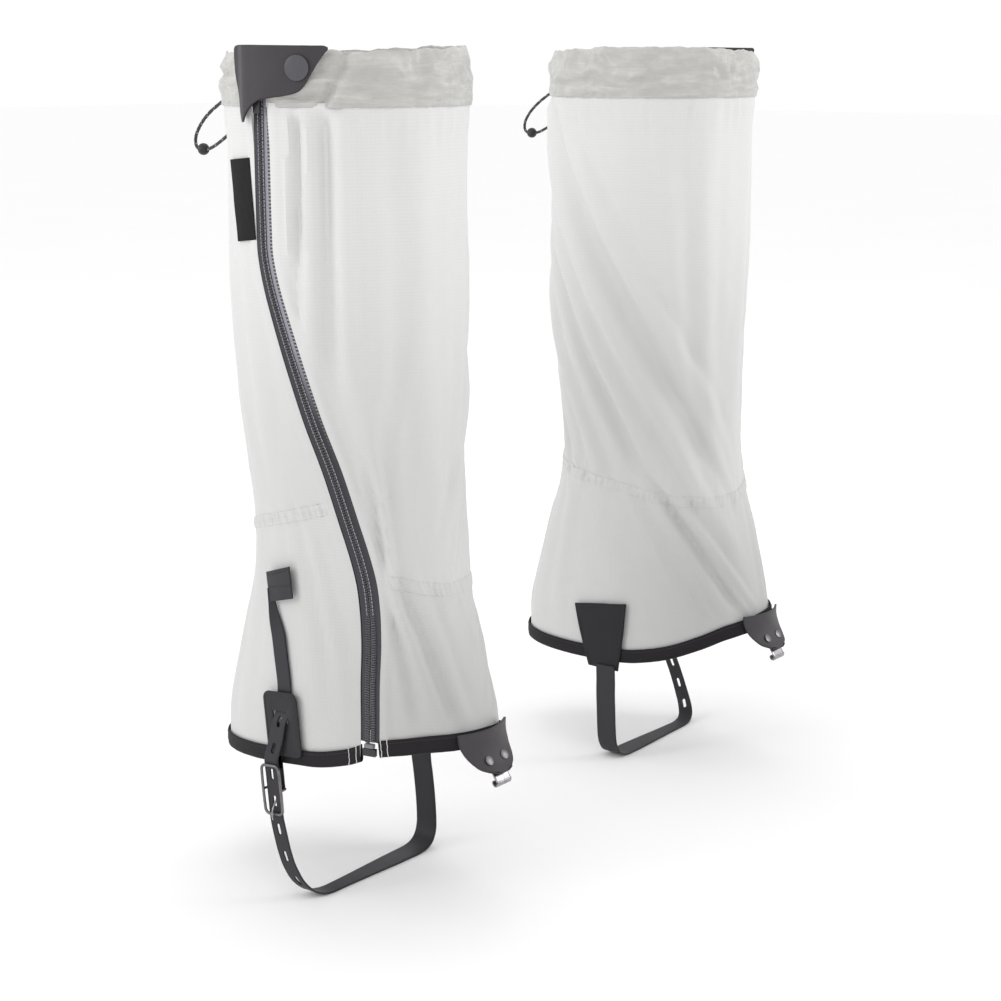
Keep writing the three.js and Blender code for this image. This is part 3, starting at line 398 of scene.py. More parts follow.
class Bench:
    """The node tree of one material, with one method that adds any node."""

    def __init__(self, name: str) -> None:
        """Makes an empty material.

        Args:
            name: The material's name.
        """
        self.material = bpy.data.materials.new(name)
        self.material.use_nodes = True
        self.nodes = self.material.node_tree.nodes
        self.links = self.material.node_tree.links
        self.nodes.clear()

    def add(self, kind: str, settings: dict[str, object] | None = None,
            values: dict[int | str, object] | None = None, out: int | str = 0) -> Shade:
        """Adds a node.

        Args:
            kind: The node's type name.
            settings: Its properties, set before its sockets; "stops" are a colour ramp's stops.
            values: Its inputs by index or name, each a number, a tuple or a Shade to link.
            out: The output that the returned value reads.

        Returns:
            The chosen output.
        """
        node = self.nodes.new(kind)
        for key, value in (settings or {}).items():
            if key == "stops":
                ramp = node.color_ramp
                while len(ramp.elements) < len(value):
                    ramp.elements.new(0.5)
                for element, (position, colour) in zip(ramp.elements, value):
                    element.position, element.color = position, colour
            else:
                setattr(node, key, value)
        for key, value in (values or {}).items():
            socket = node.inputs[key]
            if isinstance(value, Shade):
                self.links.new(value.socket, socket)
            else:
                socket.default_value = value
        return Shade(self, node.outputs[out])

    def place(self) -> Shade:
        """Object coordinates, in metres."""
        return self.add("ShaderNodeTexCoord", out="Object")

    def cloth(self) -> Shade:
        """The piece's own map, in metres along the cloth."""
        return self.add("ShaderNodeUVMap", {"uv_map": "cloth"})

    def split(self, vector: Shade) -> tuple[Shade, Shade, Shade]:
        """Parts a vector.

        Args:
            vector: The vector.

        Returns:
            Its three numbers.
        """
        node = self.nodes.new("ShaderNodeSeparateXYZ")
        self.links.new(vector.socket, node.inputs[0])
        return tuple(Shade(self, node.outputs[i]) for i in range(3))

    def grain(self, vector: Shade, scale: float, detail: float = 3.0, rough: float = 0.5) -> Shade:
        """Noise from 0 to 1 with features about 1/scale metres across."""
        return self.add("ShaderNodeTexNoise", {}, {"Vector": vector, "Scale": scale, "Detail": detail,
                                                   "Roughness": rough})

    def streaks(self, vector: Shade, scale: Spot, detail: float, rough: float = 0.5) -> Shade:
        """Noise from 0 to 1, drawn out by a scale for each direction."""
        return self.grain(self.add("ShaderNodeMapping", {}, {"Vector": vector, "Scale": scale}), 1.0, detail, rough)

    def blend(self, share: object, a: object, b: object) -> Shade:
        """A colour a share of the way from a to b."""
        return self.add("ShaderNodeMix", {"data_type": "RGBA"}, {0: share, 6: a, 7: b}, out=2)

    def dent(self, height: Shade, distance: float, strength: float = 1.0, normal: Shade | None = None) -> Shade:
        """A bump of the surface.

        Args:
            height: The relief, from about 0 to 1.
            distance: Its depth in metres.
            strength: Share of the bump that shows.
            normal: A coarser bump under it.

        Returns:
            The bent normal.
        """
        values: dict[int | str, object] = {"Height": height, "Distance": distance, "Strength": strength}
        if normal is not None:
            values["Normal"] = normal
        return self.add("ShaderNodeBump", {}, values)

    def finish(self, varying: dict[str, object], fixed: dict[str, object]) -> Material:
        """Ends the tree in a Principled shader.

        Args:
            varying: Inputs that change over the surface.
            fixed: Inputs that are the same all over it.

        Returns:
            The material.
        """
        shader = self.add("ShaderNodeBsdfPrincipled", {}, {**fixed, **varying})
        output = self.nodes.new("ShaderNodeOutputMaterial")
        self.links.new(shader.socket, output.inputs[0])
        return self.material


Colour = tuple[float, float, float]


def rgba(colour: Colour, gain: float = 1.0) -> tuple[float, float, float, float]:
    """The colour, brightened or darkened, with full alpha."""
    return (colour[0] * gain, colour[1] * gain, colour[2] * gain, 1.0)


# ---------------------------------------------------------------- finishes
@dataclass(frozen=True)
class Ripstop:
    """Thin woven nylon with a fine raised grid."""

    name: str
    colour: Colour
    # colour of the painted shade low on the toe side; the grid lines are drawn in a darker copy of it
    shadow: Colour
    roughness: float = 0.5
    sheen: float = 0.15
    rib: float = 0.0019
    # creases as a bump, with painted shade and painted highlight along them
    crease_bump_and_painted_light: bool = False
    # strength of the painted shade that darkens the cloth from the calf down towards the ankle
    fade: float = 0.0

    def material(self) -> Material:
        """Builds the material.

        Returns:
            The material.
        """
        bench = Bench(self.name)
        across, up, _ = bench.split(bench.cloth())
        lines = ((up / self.rib).apply("FRACT") - 0.5).apply("ABSOLUTE").within(0.3, 0.5)
        bars = ((across / (self.rib * 1.35)).apply("FRACT") - 0.5).apply("ABSOLUTE").within(0.36, 0.5)
        grid = lines.apply("MAXIMUM", bars * 0.55)
        weave = ((up * 16000).apply("SINE") * (across * 16000).apply("SINE")) * 0.5 + 0.5
        x, y, z = bench.split(bench.place())
        cloud = bench.grain(bench.place(), 14.0, 4.0, 0.55)
        slub = bench.streaks(bench.cloth(), (60, 900, 1), 2.0)
        # painted shade: low down on the toe side the cloth is darkened towards the shadow colour
        low = z.within(0.235, 0.12) * y.within(0.03, -0.08)
        tone = bench.blend(low, rgba(self.colour), rgba(self.shadow))
        tone = bench.blend((cloud - 0.5) * 0.35 + 0.12, tone, rgba(self.colour, 0.86))
        # painted shade: the cloth darkens from the calf down towards the ankle, as strongly as the fade setting says
        tone = bench.blend(z.within(0.44, 0.24) * self.fade, tone, rgba(self.colour, 0.78))
        tone = bench.blend(grid * 0.11 + slub * 0.08, tone, rgba(self.shadow, 0.8))
        rough = cloud * 0.12 + (self.roughness - 0.06)
        normal = bench.dent(grid * 0.7 + weave * 0.35 + slub * 0.4, 0.00004, 0.7)
        if self.crease_bump_and_painted_light:
            crease = bench.streaks(bench.cloth(), (45, 150, 1), 3.0, 0.6)
            normal = bench.dent(crease, 0.0018, 0.8, normal)
            # painted shade in the crease hollows and painted highlight on the crease crests, from the same noise as the
            # crease bump
            tone = bench.blend(crease.within(0.6, 0.36) * 0.5, tone, rgba(self.colour, 0.76))
            tone = bench.blend(crease.within(0.54, 0.7) * 0.3, tone, rgba(self.colour, 1.3))
        return bench.finish({"Base Color": tone, "Roughness": rough, "Normal": normal},
                            {"Sheen Weight": self.sheen, "Sheen Roughness": 0.45, "Specular IOR Level": 0.35})


@dataclass(frozen=True)
class Coated:
    """Leather-like or rubber-like coated sheet with a fine grain and darker cut edges."""

    name: str
    colour: Colour
    roughness: float
    grain_size: float
    grain_depth: float
    wear: float = 0.5

    def material(self) -> Material:
        """Builds the material.

        Returns:
            The material.
        """
        bench = Bench(self.name)
        rim = bench.add("ShaderNodeAttribute", {"attribute_name": "rim"}, out="Fac")
        spot = bench.place()
        cells = bench.add("ShaderNodeTexVoronoi", {"feature": "SMOOTH_F1"},
                          {"Vector": spot, "Scale": 1 / self.grain_size, "Smoothness": 0.6})
        cloud = bench.grain(spot, 60.0, 4.0, 0.6)
        scuff = bench.streaks(spot, (900, 900, 90), 3.0)
        edge = rim.within(0.0012, 0.0)
        tone = bench.blend(cloud * 0.5, rgba(self.colour, 0.88), rgba(self.colour, 1.14))
        tone = bench.blend(scuff.within(0.62, 0.8) * 0.18 * self.wear, tone, rgba(self.colour, 2.2))
        tone = bench.blend(edge * 0.45, tone, rgba(self.colour, 0.45))
        rough = cloud * 0.14 + scuff * 0.1 + (self.roughness - 0.12)
        normal = bench.dent(cells + cloud * 0.4, self.grain_depth, 0.6)
        return bench.finish({"Base Color": tone, "Roughness": rough, "Normal": normal},
                            {"Specular IOR Level": 0.3, "Sheen Weight": 0.02, "Sheen Roughness": 0.5})


@dataclass(frozen=True)
class Woven:
    """Dense dark tape, woven in fine ribs across its length."""

    name: str
    colour: Colour
    roughness: float = 0.7
    rib: float = 0.0007
    sheen: float = 0.2

    def material(self) -> Material:
        """Builds the material.

        Returns:
            The material.
        """
        bench = Bench(self.name)
        across, up, _ = bench.split(bench.cloth())
        ribs = (across * (2 * math.pi / self.rib)).apply("SINE") * 0.5 + 0.5
        picks = (up * (2 * math.pi / (self.rib * 1.4))).apply("SINE") * 0.5 + 0.5
        rim = bench.add("ShaderNodeAttribute", {"attribute_name": "rim"}, out="Fac")
        fluff = bench.grain(bench.place(), 420.0, 4.0, 0.7)
        cloud = bench.grain(bench.place(), 45.0, 2.0)
        tone = bench.blend(ribs * 0.35 + fluff * 0.3, rgba(self.colour, 0.72), rgba(self.colour, 1.35))
        tone = bench.blend(rim.within(0.0014, 0.0004) * 0.5, tone, rgba(self.colour, 0.55))
        tone = bench.blend(cloud.within(0.5, 0.8) * 0.25, tone, rgba(self.colour, 1.5))
        normal = bench.dent(ribs * 0.6 + picks * 0.4 + fluff * 0.5, 0.00009, 0.9)
        return bench.finish({"Base Color": tone, "Roughness": fluff * 0.15 + (self.roughness - 0.08), "Normal": normal},
                            {"Sheen Weight": self.sheen, "Sheen Roughness": 0.5, "Specular IOR Level": 0.3})


@dataclass(frozen=True)
class ZipTape:
    """The zip's coated tape: dark, with a paler band of painted sheen towards the toe on its upper stretch."""

    name: str = "zip_tape_cloth"
    colour: Colour = (0.036, 0.034, 0.044)
    # colour of the painted sheen band
    pale: Colour = (0.33, 0.315, 0.37)

    def material(self) -> Material:
        """Builds the material, whose map's first number is the reach from the zip's middle.

        Returns:
            The material.
        """
        bench = Bench(self.name)
        reach, up, _ = bench.split(bench.cloth())
        _, _, z = bench.split(bench.place())
        # painted sheen: a paler band along the toe-side tape on the zip's upper stretch
        band = reach.within(0.0019, 0.0022) * reach.within(0.0043, 0.004) * z.within(0.29, 0.345)
        check = ((up / 0.0021).apply("FRACT") - 0.5).apply("ABSOLUTE").within(0.24, 0.28)
        border = reach.within(0.0043, 0.0045) * z.within(0.27, 0.33)
        ribs = (up * (2 * math.pi / 0.0008)).apply("SINE") * 0.5 + 0.5
        fluff = bench.grain(bench.place(), 380.0, 3.0, 0.6)
        tone = bench.blend(ribs * 0.3 + fluff * 0.3, rgba(self.colour, 0.75), rgba(self.colour, 1.3))
        tone = bench.blend(band, tone, bench.blend(fluff, rgba(self.pale, 0.85), rgba(self.pale, 1.15)))
        tone = bench.blend(border * check * 0.75, tone, (0.42, 0.42, 0.42, 1.0))
        rough = 0.5 - z.within(0.24, 0.16) * 0.24 + fluff * 0.08
        return bench.finish({"Base Color": tone, "Roughness": rough,
                             "Normal": bench.dent(ribs + fluff * 0.6, 0.00006, 0.8)},
                            {"Specular IOR Level": 0.5, "Coat Roughness": 0.25})


@dataclass(frozen=True)
class Moulded:
    """Moulded plastic or paint: smooth with faint unevenness."""

    name: str
    colour: Colour
    roughness: float
    metallic: float = 0.0
    coat: float = 0.0

    def material(self) -> Material:
        """Builds the material.

        Returns:
            The material.
        """
        bench = Bench(self.name)
        cloud = bench.grain(bench.place(), 160.0, 4.0, 0.6)
        fine = bench.grain(bench.place(), 2600.0, 2.0, 0.5)
        tone = bench.blend(cloud, rgba(self.colour, 0.85), rgba(self.colour, 1.2))
        return bench.finish({"Base Color": tone, "Roughness": cloud * 0.16 + (self.roughness - 0.08),
                             "Normal": bench.dent(fine + cloud, 0.00002, 0.6)},
                            {"Metallic": self.metallic, "Coat Weight": self.coat, "Coat Roughness": 0.2})


@dataclass(frozen=True)
class Steel:
    """Drawn wire or pressed sheet with fine lines, dulled in patches."""

    name: str
    colour: Colour
    roughness: float

    def material(self) -> Material:
        """Builds the material.

        Returns:
            The material.
        """
        bench = Bench(self.name)
        spot = bench.place()
        lines = bench.streaks(spot, (5200, 5200, 260), 2.0)
        tarnish = bench.grain(spot, 240.0, 5.0, 0.65)
        tone = bench.blend(tarnish.within(0.35, 0.75), rgba(self.colour), rgba(self.colour, 0.62))
        rough = tarnish * 0.2 + lines * 0.12 + (self.roughness - 0.14)
        return bench.finish({"Base Color": tone, "Roughness": rough,
                             "Normal": bench.dent(lines + tarnish * 0.5, 0.000025, 0.6)},
                            {"Metallic": 1.0})


@dataclass(frozen=True)
class Braid:
    """Braided cord: dark, with a paler fleck in its plait."""

    name: str
    colour: Colour
    fleck: Colour
    plait: float = 0.0024

    def material(self) -> Material:
        """Builds the material, whose map's first number runs once round the cord.

        Returns:
            The material.
        """
        bench = Bench(self.name)
        turn, run, _ = bench.split(bench.cloth())
        one = ((run / self.plait + turn * 2.0) * (2 * math.pi)).apply("SINE")
        two = ((run / self.plait - turn * 2.0) * (2 * math.pi)).apply("SINE")
        strand = one.apply("MAXIMUM", two)
        fleck = ((run / (self.plait * 3.0) + turn).apply("FRACT") - 0.5).apply("ABSOLUTE").within(0.4, 0.44)
        tone = bench.blend(strand * 0.4 + 0.4, rgba(self.colour, 0.6), rgba(self.colour, 1.6))
        tone = bench.blend(fleck * two.within(0.2, 0.6), tone, rgba(self.fleck))
        return bench.finish({"Base Color": tone, "Normal": bench.dent(strand, 0.00022, 0.9)},
                            {"Roughness": 0.75, "Sheen Weight": 0.2})


class Finishes:
    """Every material of the pair, made once."""

    def __init__(self) -> None:
        """Builds the materials."""
        # the upper cloth carries painted shade that darkens it towards the ankle
        self.upper = Ripstop("pale_ripstop", (0.74, 0.74, 0.735), (0.62, 0.62, 0.61), fade=0.9).material()
        self.lower = Ripstop("grey_ripstop", (0.62, 0.62, 0.615), (0.47, 0.47, 0.465), 0.55, 0.1).material()
        self.channel = Ripstop("channel_ripstop", (0.55, 0.545, 0.525), (0.47, 0.465, 0.45), 0.3, 0.05,
                               crease_bump_and_painted_light=True).material()
        self.binding = Woven("hem_tape", (0.011, 0.009, 0.011), 0.8, sheen=0.03).material()
        self.label = Woven("label_tape", (0.008, 0.008, 0.008), 0.85, 0.0005, 0.0).material()
        self.leather = Coated("coated_leather", (0.05, 0.045, 0.05), 0.5, 0.0009, 0.00008).material()
        self.rubber = Coated("strap_sheet", (0.028, 0.026, 0.032), 0.52, 0.0006, 0.00004, 0.8).material()
        self.inner = Coated("inner_sheet", (0.012, 0.0105, 0.014), 0.6, 0.0007, 0.00005, 0.4).material()
        self.tape = ZipTape().material()
        self.coil = Moulded("coil_nylon", (0.05, 0.049, 0.057), 0.26, coat=0.4).material()
        self.plastic = Moulded("zip_plastic", (0.02, 0.019, 0.024), 0.35).material()
        self.stop = Moulded("zip_stop", (0.17, 0.17, 0.18), 0.35).material()
        self.snap = Moulded("snap_paint", (0.085, 0.083, 0.094), 0.3, 0.35).material()
        self.steel = Steel("buckle_steel", (0.2, 0.19, 0.205), 0.3).material()
        self.bright = Steel("rivet_steel", (0.36, 0.35, 0.37), 0.25).material()
        self.cord = Braid("drawcord_braid", (0.03, 0.026, 0.036), (0.45, 0.45, 0.47)).material()
        self.bead = Moulded("bead_plastic", (0.018, 0.016, 0.019), 0.42).material()
        self.white = Moulded("white_thread", (0.62, 0.62, 0.63), 0.7).material()
        self.pale = Moulded("grey_thread", (0.34, 0.335, 0.37), 0.7).material()
        self.dark = Moulded("dark_thread", (0.035, 0.033, 0.036), 0.8).material()
        self.seam = Moulded("seam_thread", (0.6, 0.6, 0.6), 0.75).material()


# ---------------------------------------------------------------- making pieces
class Part(Enum):
    """The body of one gaiter that a piece rides on."""

    GAITER = "gaiters"
    SLIDER = "slider"
    PULL = "pull"
    FLAP = "flap"
    TAB = "toe_tab"
    PRONG = "prong"

    def of(self, side: str) -> str:
        """The body's name on that side."""
        return self.value if self is Part.GAITER else f"{side}_{self.value}"


@dataclass(frozen=True)
class Cloth:
    """What a piece was cut to before it was sewn, in mm, and how it is held."""

    width: float
    length: float
    held: str = "gathered"
    area: float | None = None


def editing(on: bool) -> None:
    """Goes into edit mode or out of it."""
    bpy.ops.object.mode_set(mode="EDIT" if on else "OBJECT")


def named(piece: Piece, name: str) -> Piece:
    """Gives a piece and its mesh one name."""
    piece.name = piece.data.name = name
    return piece


def deselect() -> None:
    """Leaves object mode with nothing selected."""
    if bpy.context.object and bpy.context.object.mode != "OBJECT":
        editing(False)
    bpy.ops.object.select_all(action="DESELECT")


def choose(piece: Piece) -> None:
    """Selects one piece and makes it active.

    Args:
        piece: The piece.
    """
    deselect()
    piece.select_set(True)
    bpy.context.view_layer.objects.active = piece


def apply_modifier(piece: Piece, kind: str, **settings: object) -> None:
    """Adds a modifier and applies it.

    Args:
        piece: The piece.
        kind: The modifier's type.
        **settings: Its properties.
    """
    choose(piece)
    modifier = piece.modifiers.new(kind.lower(), kind)
    for key, value in settings.items():
        setattr(modifier, key, value)
    bpy.ops.object.modifier_apply(modifier=modifier.name)


def bevel(piece: Piece, width: float, angle: float) -> None:
    """Rounds a piece's crisp edges.

    Args:
        piece: The piece.
        width: Of the rounding, in the piece's own unit.
        angle: Edges over this many degrees are rounded.
    """
    apply_modifier(piece, "BEVEL", width=width, segments=2, limit_method="ANGLE", angle_limit=math.radians(angle))


def smooth_shade(piece: Piece, angle: float = 40.0) -> None:
    """Smooth shading with crisp edges over the angle."""
    choose(piece)
    bpy.ops.object.shade_smooth_by_angle(angle=math.radians(angle))


def thicken(piece: Piece, thickness: float, rounding: float = 0.0, even: bool = True) -> None:
    """Gives a surface its thickness, half to each side, and rounds its edges.

    Args:
        piece: The surface.
        thickness: In mm.
        rounding: Radius on the edges, in mm.
        even: Whether sharp bends keep their full thickness.
    """
    apply_modifier(piece, "SOLIDIFY", thickness=thickness * MM, offset=0.0, use_even_offset=even)
    if rounding:
        bevel(piece, rounding * MM, 55)
    smooth_shade(piece)


def surface(name: str, across: int, up: int, place: Callable[[float, float], Vector],
            flat: Callable[[float, float], tuple[float, float]]) -> Piece:
    """A grid laid over a shape.

    Args:
        name: The piece's name.
        across: Cells along its first direction.
        up: Cells along its second.
        place: Point in mm for shares 0 to 1 of both directions.
        flat: Place on the cloth in mm for the same shares.

    Returns:
        The surface, in the row frame.
    """
    deselect()
    bpy.ops.mesh.primitive_grid_add(x_subdivisions=across, y_subdivisions=up, size=2, calc_uvs=True)
    piece = bpy.context.object
    named(piece, name)
    mesh = piece.data
    shares = [((v.co.x + 1) / 2, (v.co.y + 1) / 2) for v in mesh.vertices]
    laid = [flat(u, v) for u, v in shares]
    for vertex, (u, v) in zip(mesh.vertices, shares):
        vertex.co = world(place(u, v))
    layer = mesh.uv_layers.active
    layer.name = "cloth"
    for loop in mesh.loops:
        layer.data[loop.index].uv = (laid[loop.vertex_index][0] * MM, laid[loop.vertex_index][1] * MM)
    return piece


def store_rim(piece: Piece, near: Callable[[float, float], float]) -> None:
    """Keeps each point's distance to the nearest edge, for the finish.

    Args:
        piece: A surface.
        near: That distance in mm, from the place on the cloth in mm.
    """
    edge = piece.data.attributes.new("rim", "FLOAT", "POINT")
    layer = piece.data.uv_layers["cloth"]
    for loop in piece.data.loops:
        x, y = layer.data[loop.index].uv
        edge.data[loop.vertex_index].value = near(x / MM, y / MM) * MM


def placed(piece: Piece, seat: Matrix) -> Piece:
    """Puts a piece into its seat, with its place in its mesh.

    Args:
        piece: The piece, in mm about the origin.
        seat: Where it goes, in mm about the leg's axis.

    Returns:
        The piece, in the row frame.
    """
    piece.data.transform(Matrix.Scale(MM, 4) @ Matrix.Translation((-LEG_AXIS_X, 0, 0)) @ seat @ piece.matrix_world)
    piece.matrix_world = Matrix.Identity(4)
    piece.data.update()
    return piece


def wire(name: str, points: Sequence[Vector], radius: float, resolution: int = 4, closed: bool = False,
         radii: Sequence[float] | None = None) -> Piece:
    """A round wire or thread along points in mm, as a mesh in the row frame.

    Args:
        name: The piece's name.
        points: What it runs through.
        radius: Its radius in mm.
        resolution: Roundness; sides are four times this, roughly.
        closed: Whether it is a ring.
        radii: Share of the radius at each point.

    Returns:
        The wire.
    """
    deselect()
    data = bpy.data.curves.new(name, "CURVE")
    data.dimensions = "3D"
    data.bevel_depth = radius * MM
    data.bevel_resolution = resolution
    data.use_fill_caps = True
    line = data.splines.new("POLY")
    line.points.add(len(points) - 1)
    for i, point in enumerate(points):
        line.points[i].co = (*world(point), 1.0)
        line.points[i].radius = radii[i] if radii else 1.0
    line.use_cyclic_u = closed
    piece = bpy.data.objects.new(name, data)
    bpy.context.collection.objects.link(piece)
    choose(piece)
    bpy.ops.object.convert(target="MESH")
    piece = bpy.context.object
    named(piece, name)
    apply_modifier(piece, "WELD", merge_threshold=1e-6)
    smooth_shade(piece)
    return piece


def joined(name: str, pieces: Iterable[Piece]) -> Piece:
    """One piece from several, each keeping its finish.

    Args:
        name: The new piece's name.
        pieces: What to join.

    Returns:
        The piece.
    """
    pieces = list(pieces)
    deselect()
    for piece in pieces:
        piece.select_set(True)
    bpy.context.view_layer.objects.active = pieces[0]
    if len(pieces) > 1:
        bpy.ops.object.join()
    piece = bpy.context.object
    named(piece, name)
    return piece


def pick(kind: str, wanted: Callable[[object], bool]) -> None:
    """Selects some corners or faces of the piece in edit mode, and nothing else.

    Args:
        kind: "verts" or "faces".
        wanted: Whether one of them is chosen.
    """
    bpy.ops.mesh.select_all(action="DESELECT")
    shape = bmesh.from_edit_mesh(bpy.context.object.data)
    for item in getattr(shape, kind):
        item.select = wanted(item)
    shape.select_flush_mode()
    bmesh.update_edit_mesh(bpy.context.object.data)


def pattern_of(model: Piece) -> tuple[list[Vector], list[tuple[int, ...]]]:
    """Turns a model into a pattern to repeat, and removes it.

    Args:
        model: What is repeated.

    Returns:
        Its corners and its faces.
    """
    corners = [vertex.co.copy() for vertex in model.data.vertices]
    faces = [tuple(face.vertices) for face in model.data.polygons]
    bpy.data.objects.remove(model)
    return corners, faces


def repeated(name: str, faces: Sequence[tuple[int, ...]], rows: Sequence[Sequence[Vector]],
             angle: float) -> Piece:
    """One piece from many copies of a pattern.

    Args:
        name: The piece's name.
        faces: The pattern's faces.
        rows: Each copy's corners, in mm.
        angle: Edges over this many degrees stay crisp.

    Returns:
        The piece.
    """
    points = [tuple(world(corner)) for row in rows for corner in row]
    starts = [i * len(row) for i, row in enumerate(rows)]
    mesh = bpy.data.meshes.new(name)
    mesh.from_pydata(points, [], [tuple(start + k for k in face) for start in starts for face in faces])
    mesh.uv_layers.new(name="cloth")
    piece = bpy.data.objects.new(name, mesh)
    bpy.context.collection.objects.link(piece)
    smooth_shade(piece, angle)
    return piece


def worked_disc(sides: int, radius: float, depth: float, middle: float,
                steps: Sequence[tuple[float, float]]) -> Piece:
    """A disc whose top is worked inwards step by step, as on a lathe.

    Args:
        sides: Its number of sides.
        radius: Its radius in mm.
        depth: Its depth in mm.
        middle: Height of its middle in mm.
        steps: How far in and how far up each step goes, in mm.

    Returns:
        The disc, in mm about the origin.
    """
    deselect()
    bpy.ops.mesh.primitive_cylinder_add(vertices=sides, radius=radius, depth=depth, location=(0, 0, middle),
                                        end_fill_type="NGON")
    piece = bpy.context.object
    editing(True)
    pick("faces", lambda face: face.normal.z > 0.9)
    for inset, rise in steps:
        bpy.ops.mesh.inset(thickness=inset, depth=0)
        bpy.ops.transform.translate(value=(0, 0, rise))
    editing(False)
    piece.data.uv_layers.active.name = "cloth"
    choose(piece)
    bpy.ops.object.transform_apply(location=True, rotation=False, scale=False)
    return piece


def run_along(line: Sequence[Vector]) -> list[float]:
    """Length of a line up to each of its points.

    Args:
        line: The points.

    Returns:
        The lengths, from 0.
    """
    run = [0.0]
    for a, b in zip(line, line[1:]):
        run.append(run[-1] + (b - a).length)
    return run


def seat_on(around: float, z: float, off: float, turn: float = 0.0) -> Matrix:
    """Axes on the sleeve: X to the toe side, Y up, Z outwards.

    Args:
        around: Where round the leg.
        z: Height.
        off: How far outside the fabric's inner face.
        turn: Turn about Z, in radians.

    Returns:
        The seat.
    """
    out = SLEEVE.normal(around, z)
    up = Vector((0, 0, 1))
    toe = up.cross(out).normalized()
    basis = Matrix((toe, up, out)).transposed().to_4x4()
    return Matrix.Translation(SLEEVE.point(around, z, off)) @ basis @ Matrix.Rotation(turn, 4, "Z")


def dress(piece: Piece, material: Material) -> Piece:
    """Gives a piece one finish.

    Args:
        piece: The piece.
        material: The finish.

    Returns:
        The same piece.
    """
    piece.data.materials.clear()
    piece.data.materials.append(material)
    return piece


def twin(piece: Piece, name: str) -> Piece:
    """The left gaiter's copy, mirrored, with its faces turned back outwards.

    Args:
        piece: The right gaiter's piece.
        name: The copy's name.

    Returns:
        The copy, with its own mesh.
    """
    choose(piece)
    bpy.ops.object.duplicate(linked=False)
    copy = bpy.context.object
    named(copy, name)
    copy.data.transform(Matrix.Scale(-1, 4, Vector((1, 0, 0))))
    copy.data.flip_normals()
    return copy


def settle(piece: Piece, part: Part, nodes: Sequence[str],
           cloth: Cloth | None = None) -> tuple[Piece, Piece]:
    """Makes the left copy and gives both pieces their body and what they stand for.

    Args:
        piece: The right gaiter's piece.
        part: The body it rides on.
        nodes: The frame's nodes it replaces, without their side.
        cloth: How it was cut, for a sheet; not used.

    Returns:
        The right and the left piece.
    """
    name = piece.name
    pair = (piece, twin(piece, f"left_{name}"))
    named(piece, f"right_{name}")
    for side, item in zip(("right", "left"), pair):
        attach(item, part.of(side))
        if nodes:
            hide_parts(*[f"{side}_{node}" for node in nodes])
    log.info("%s: %d faces on %s", name, len(piece.data.polygons), part.value)
    return pair


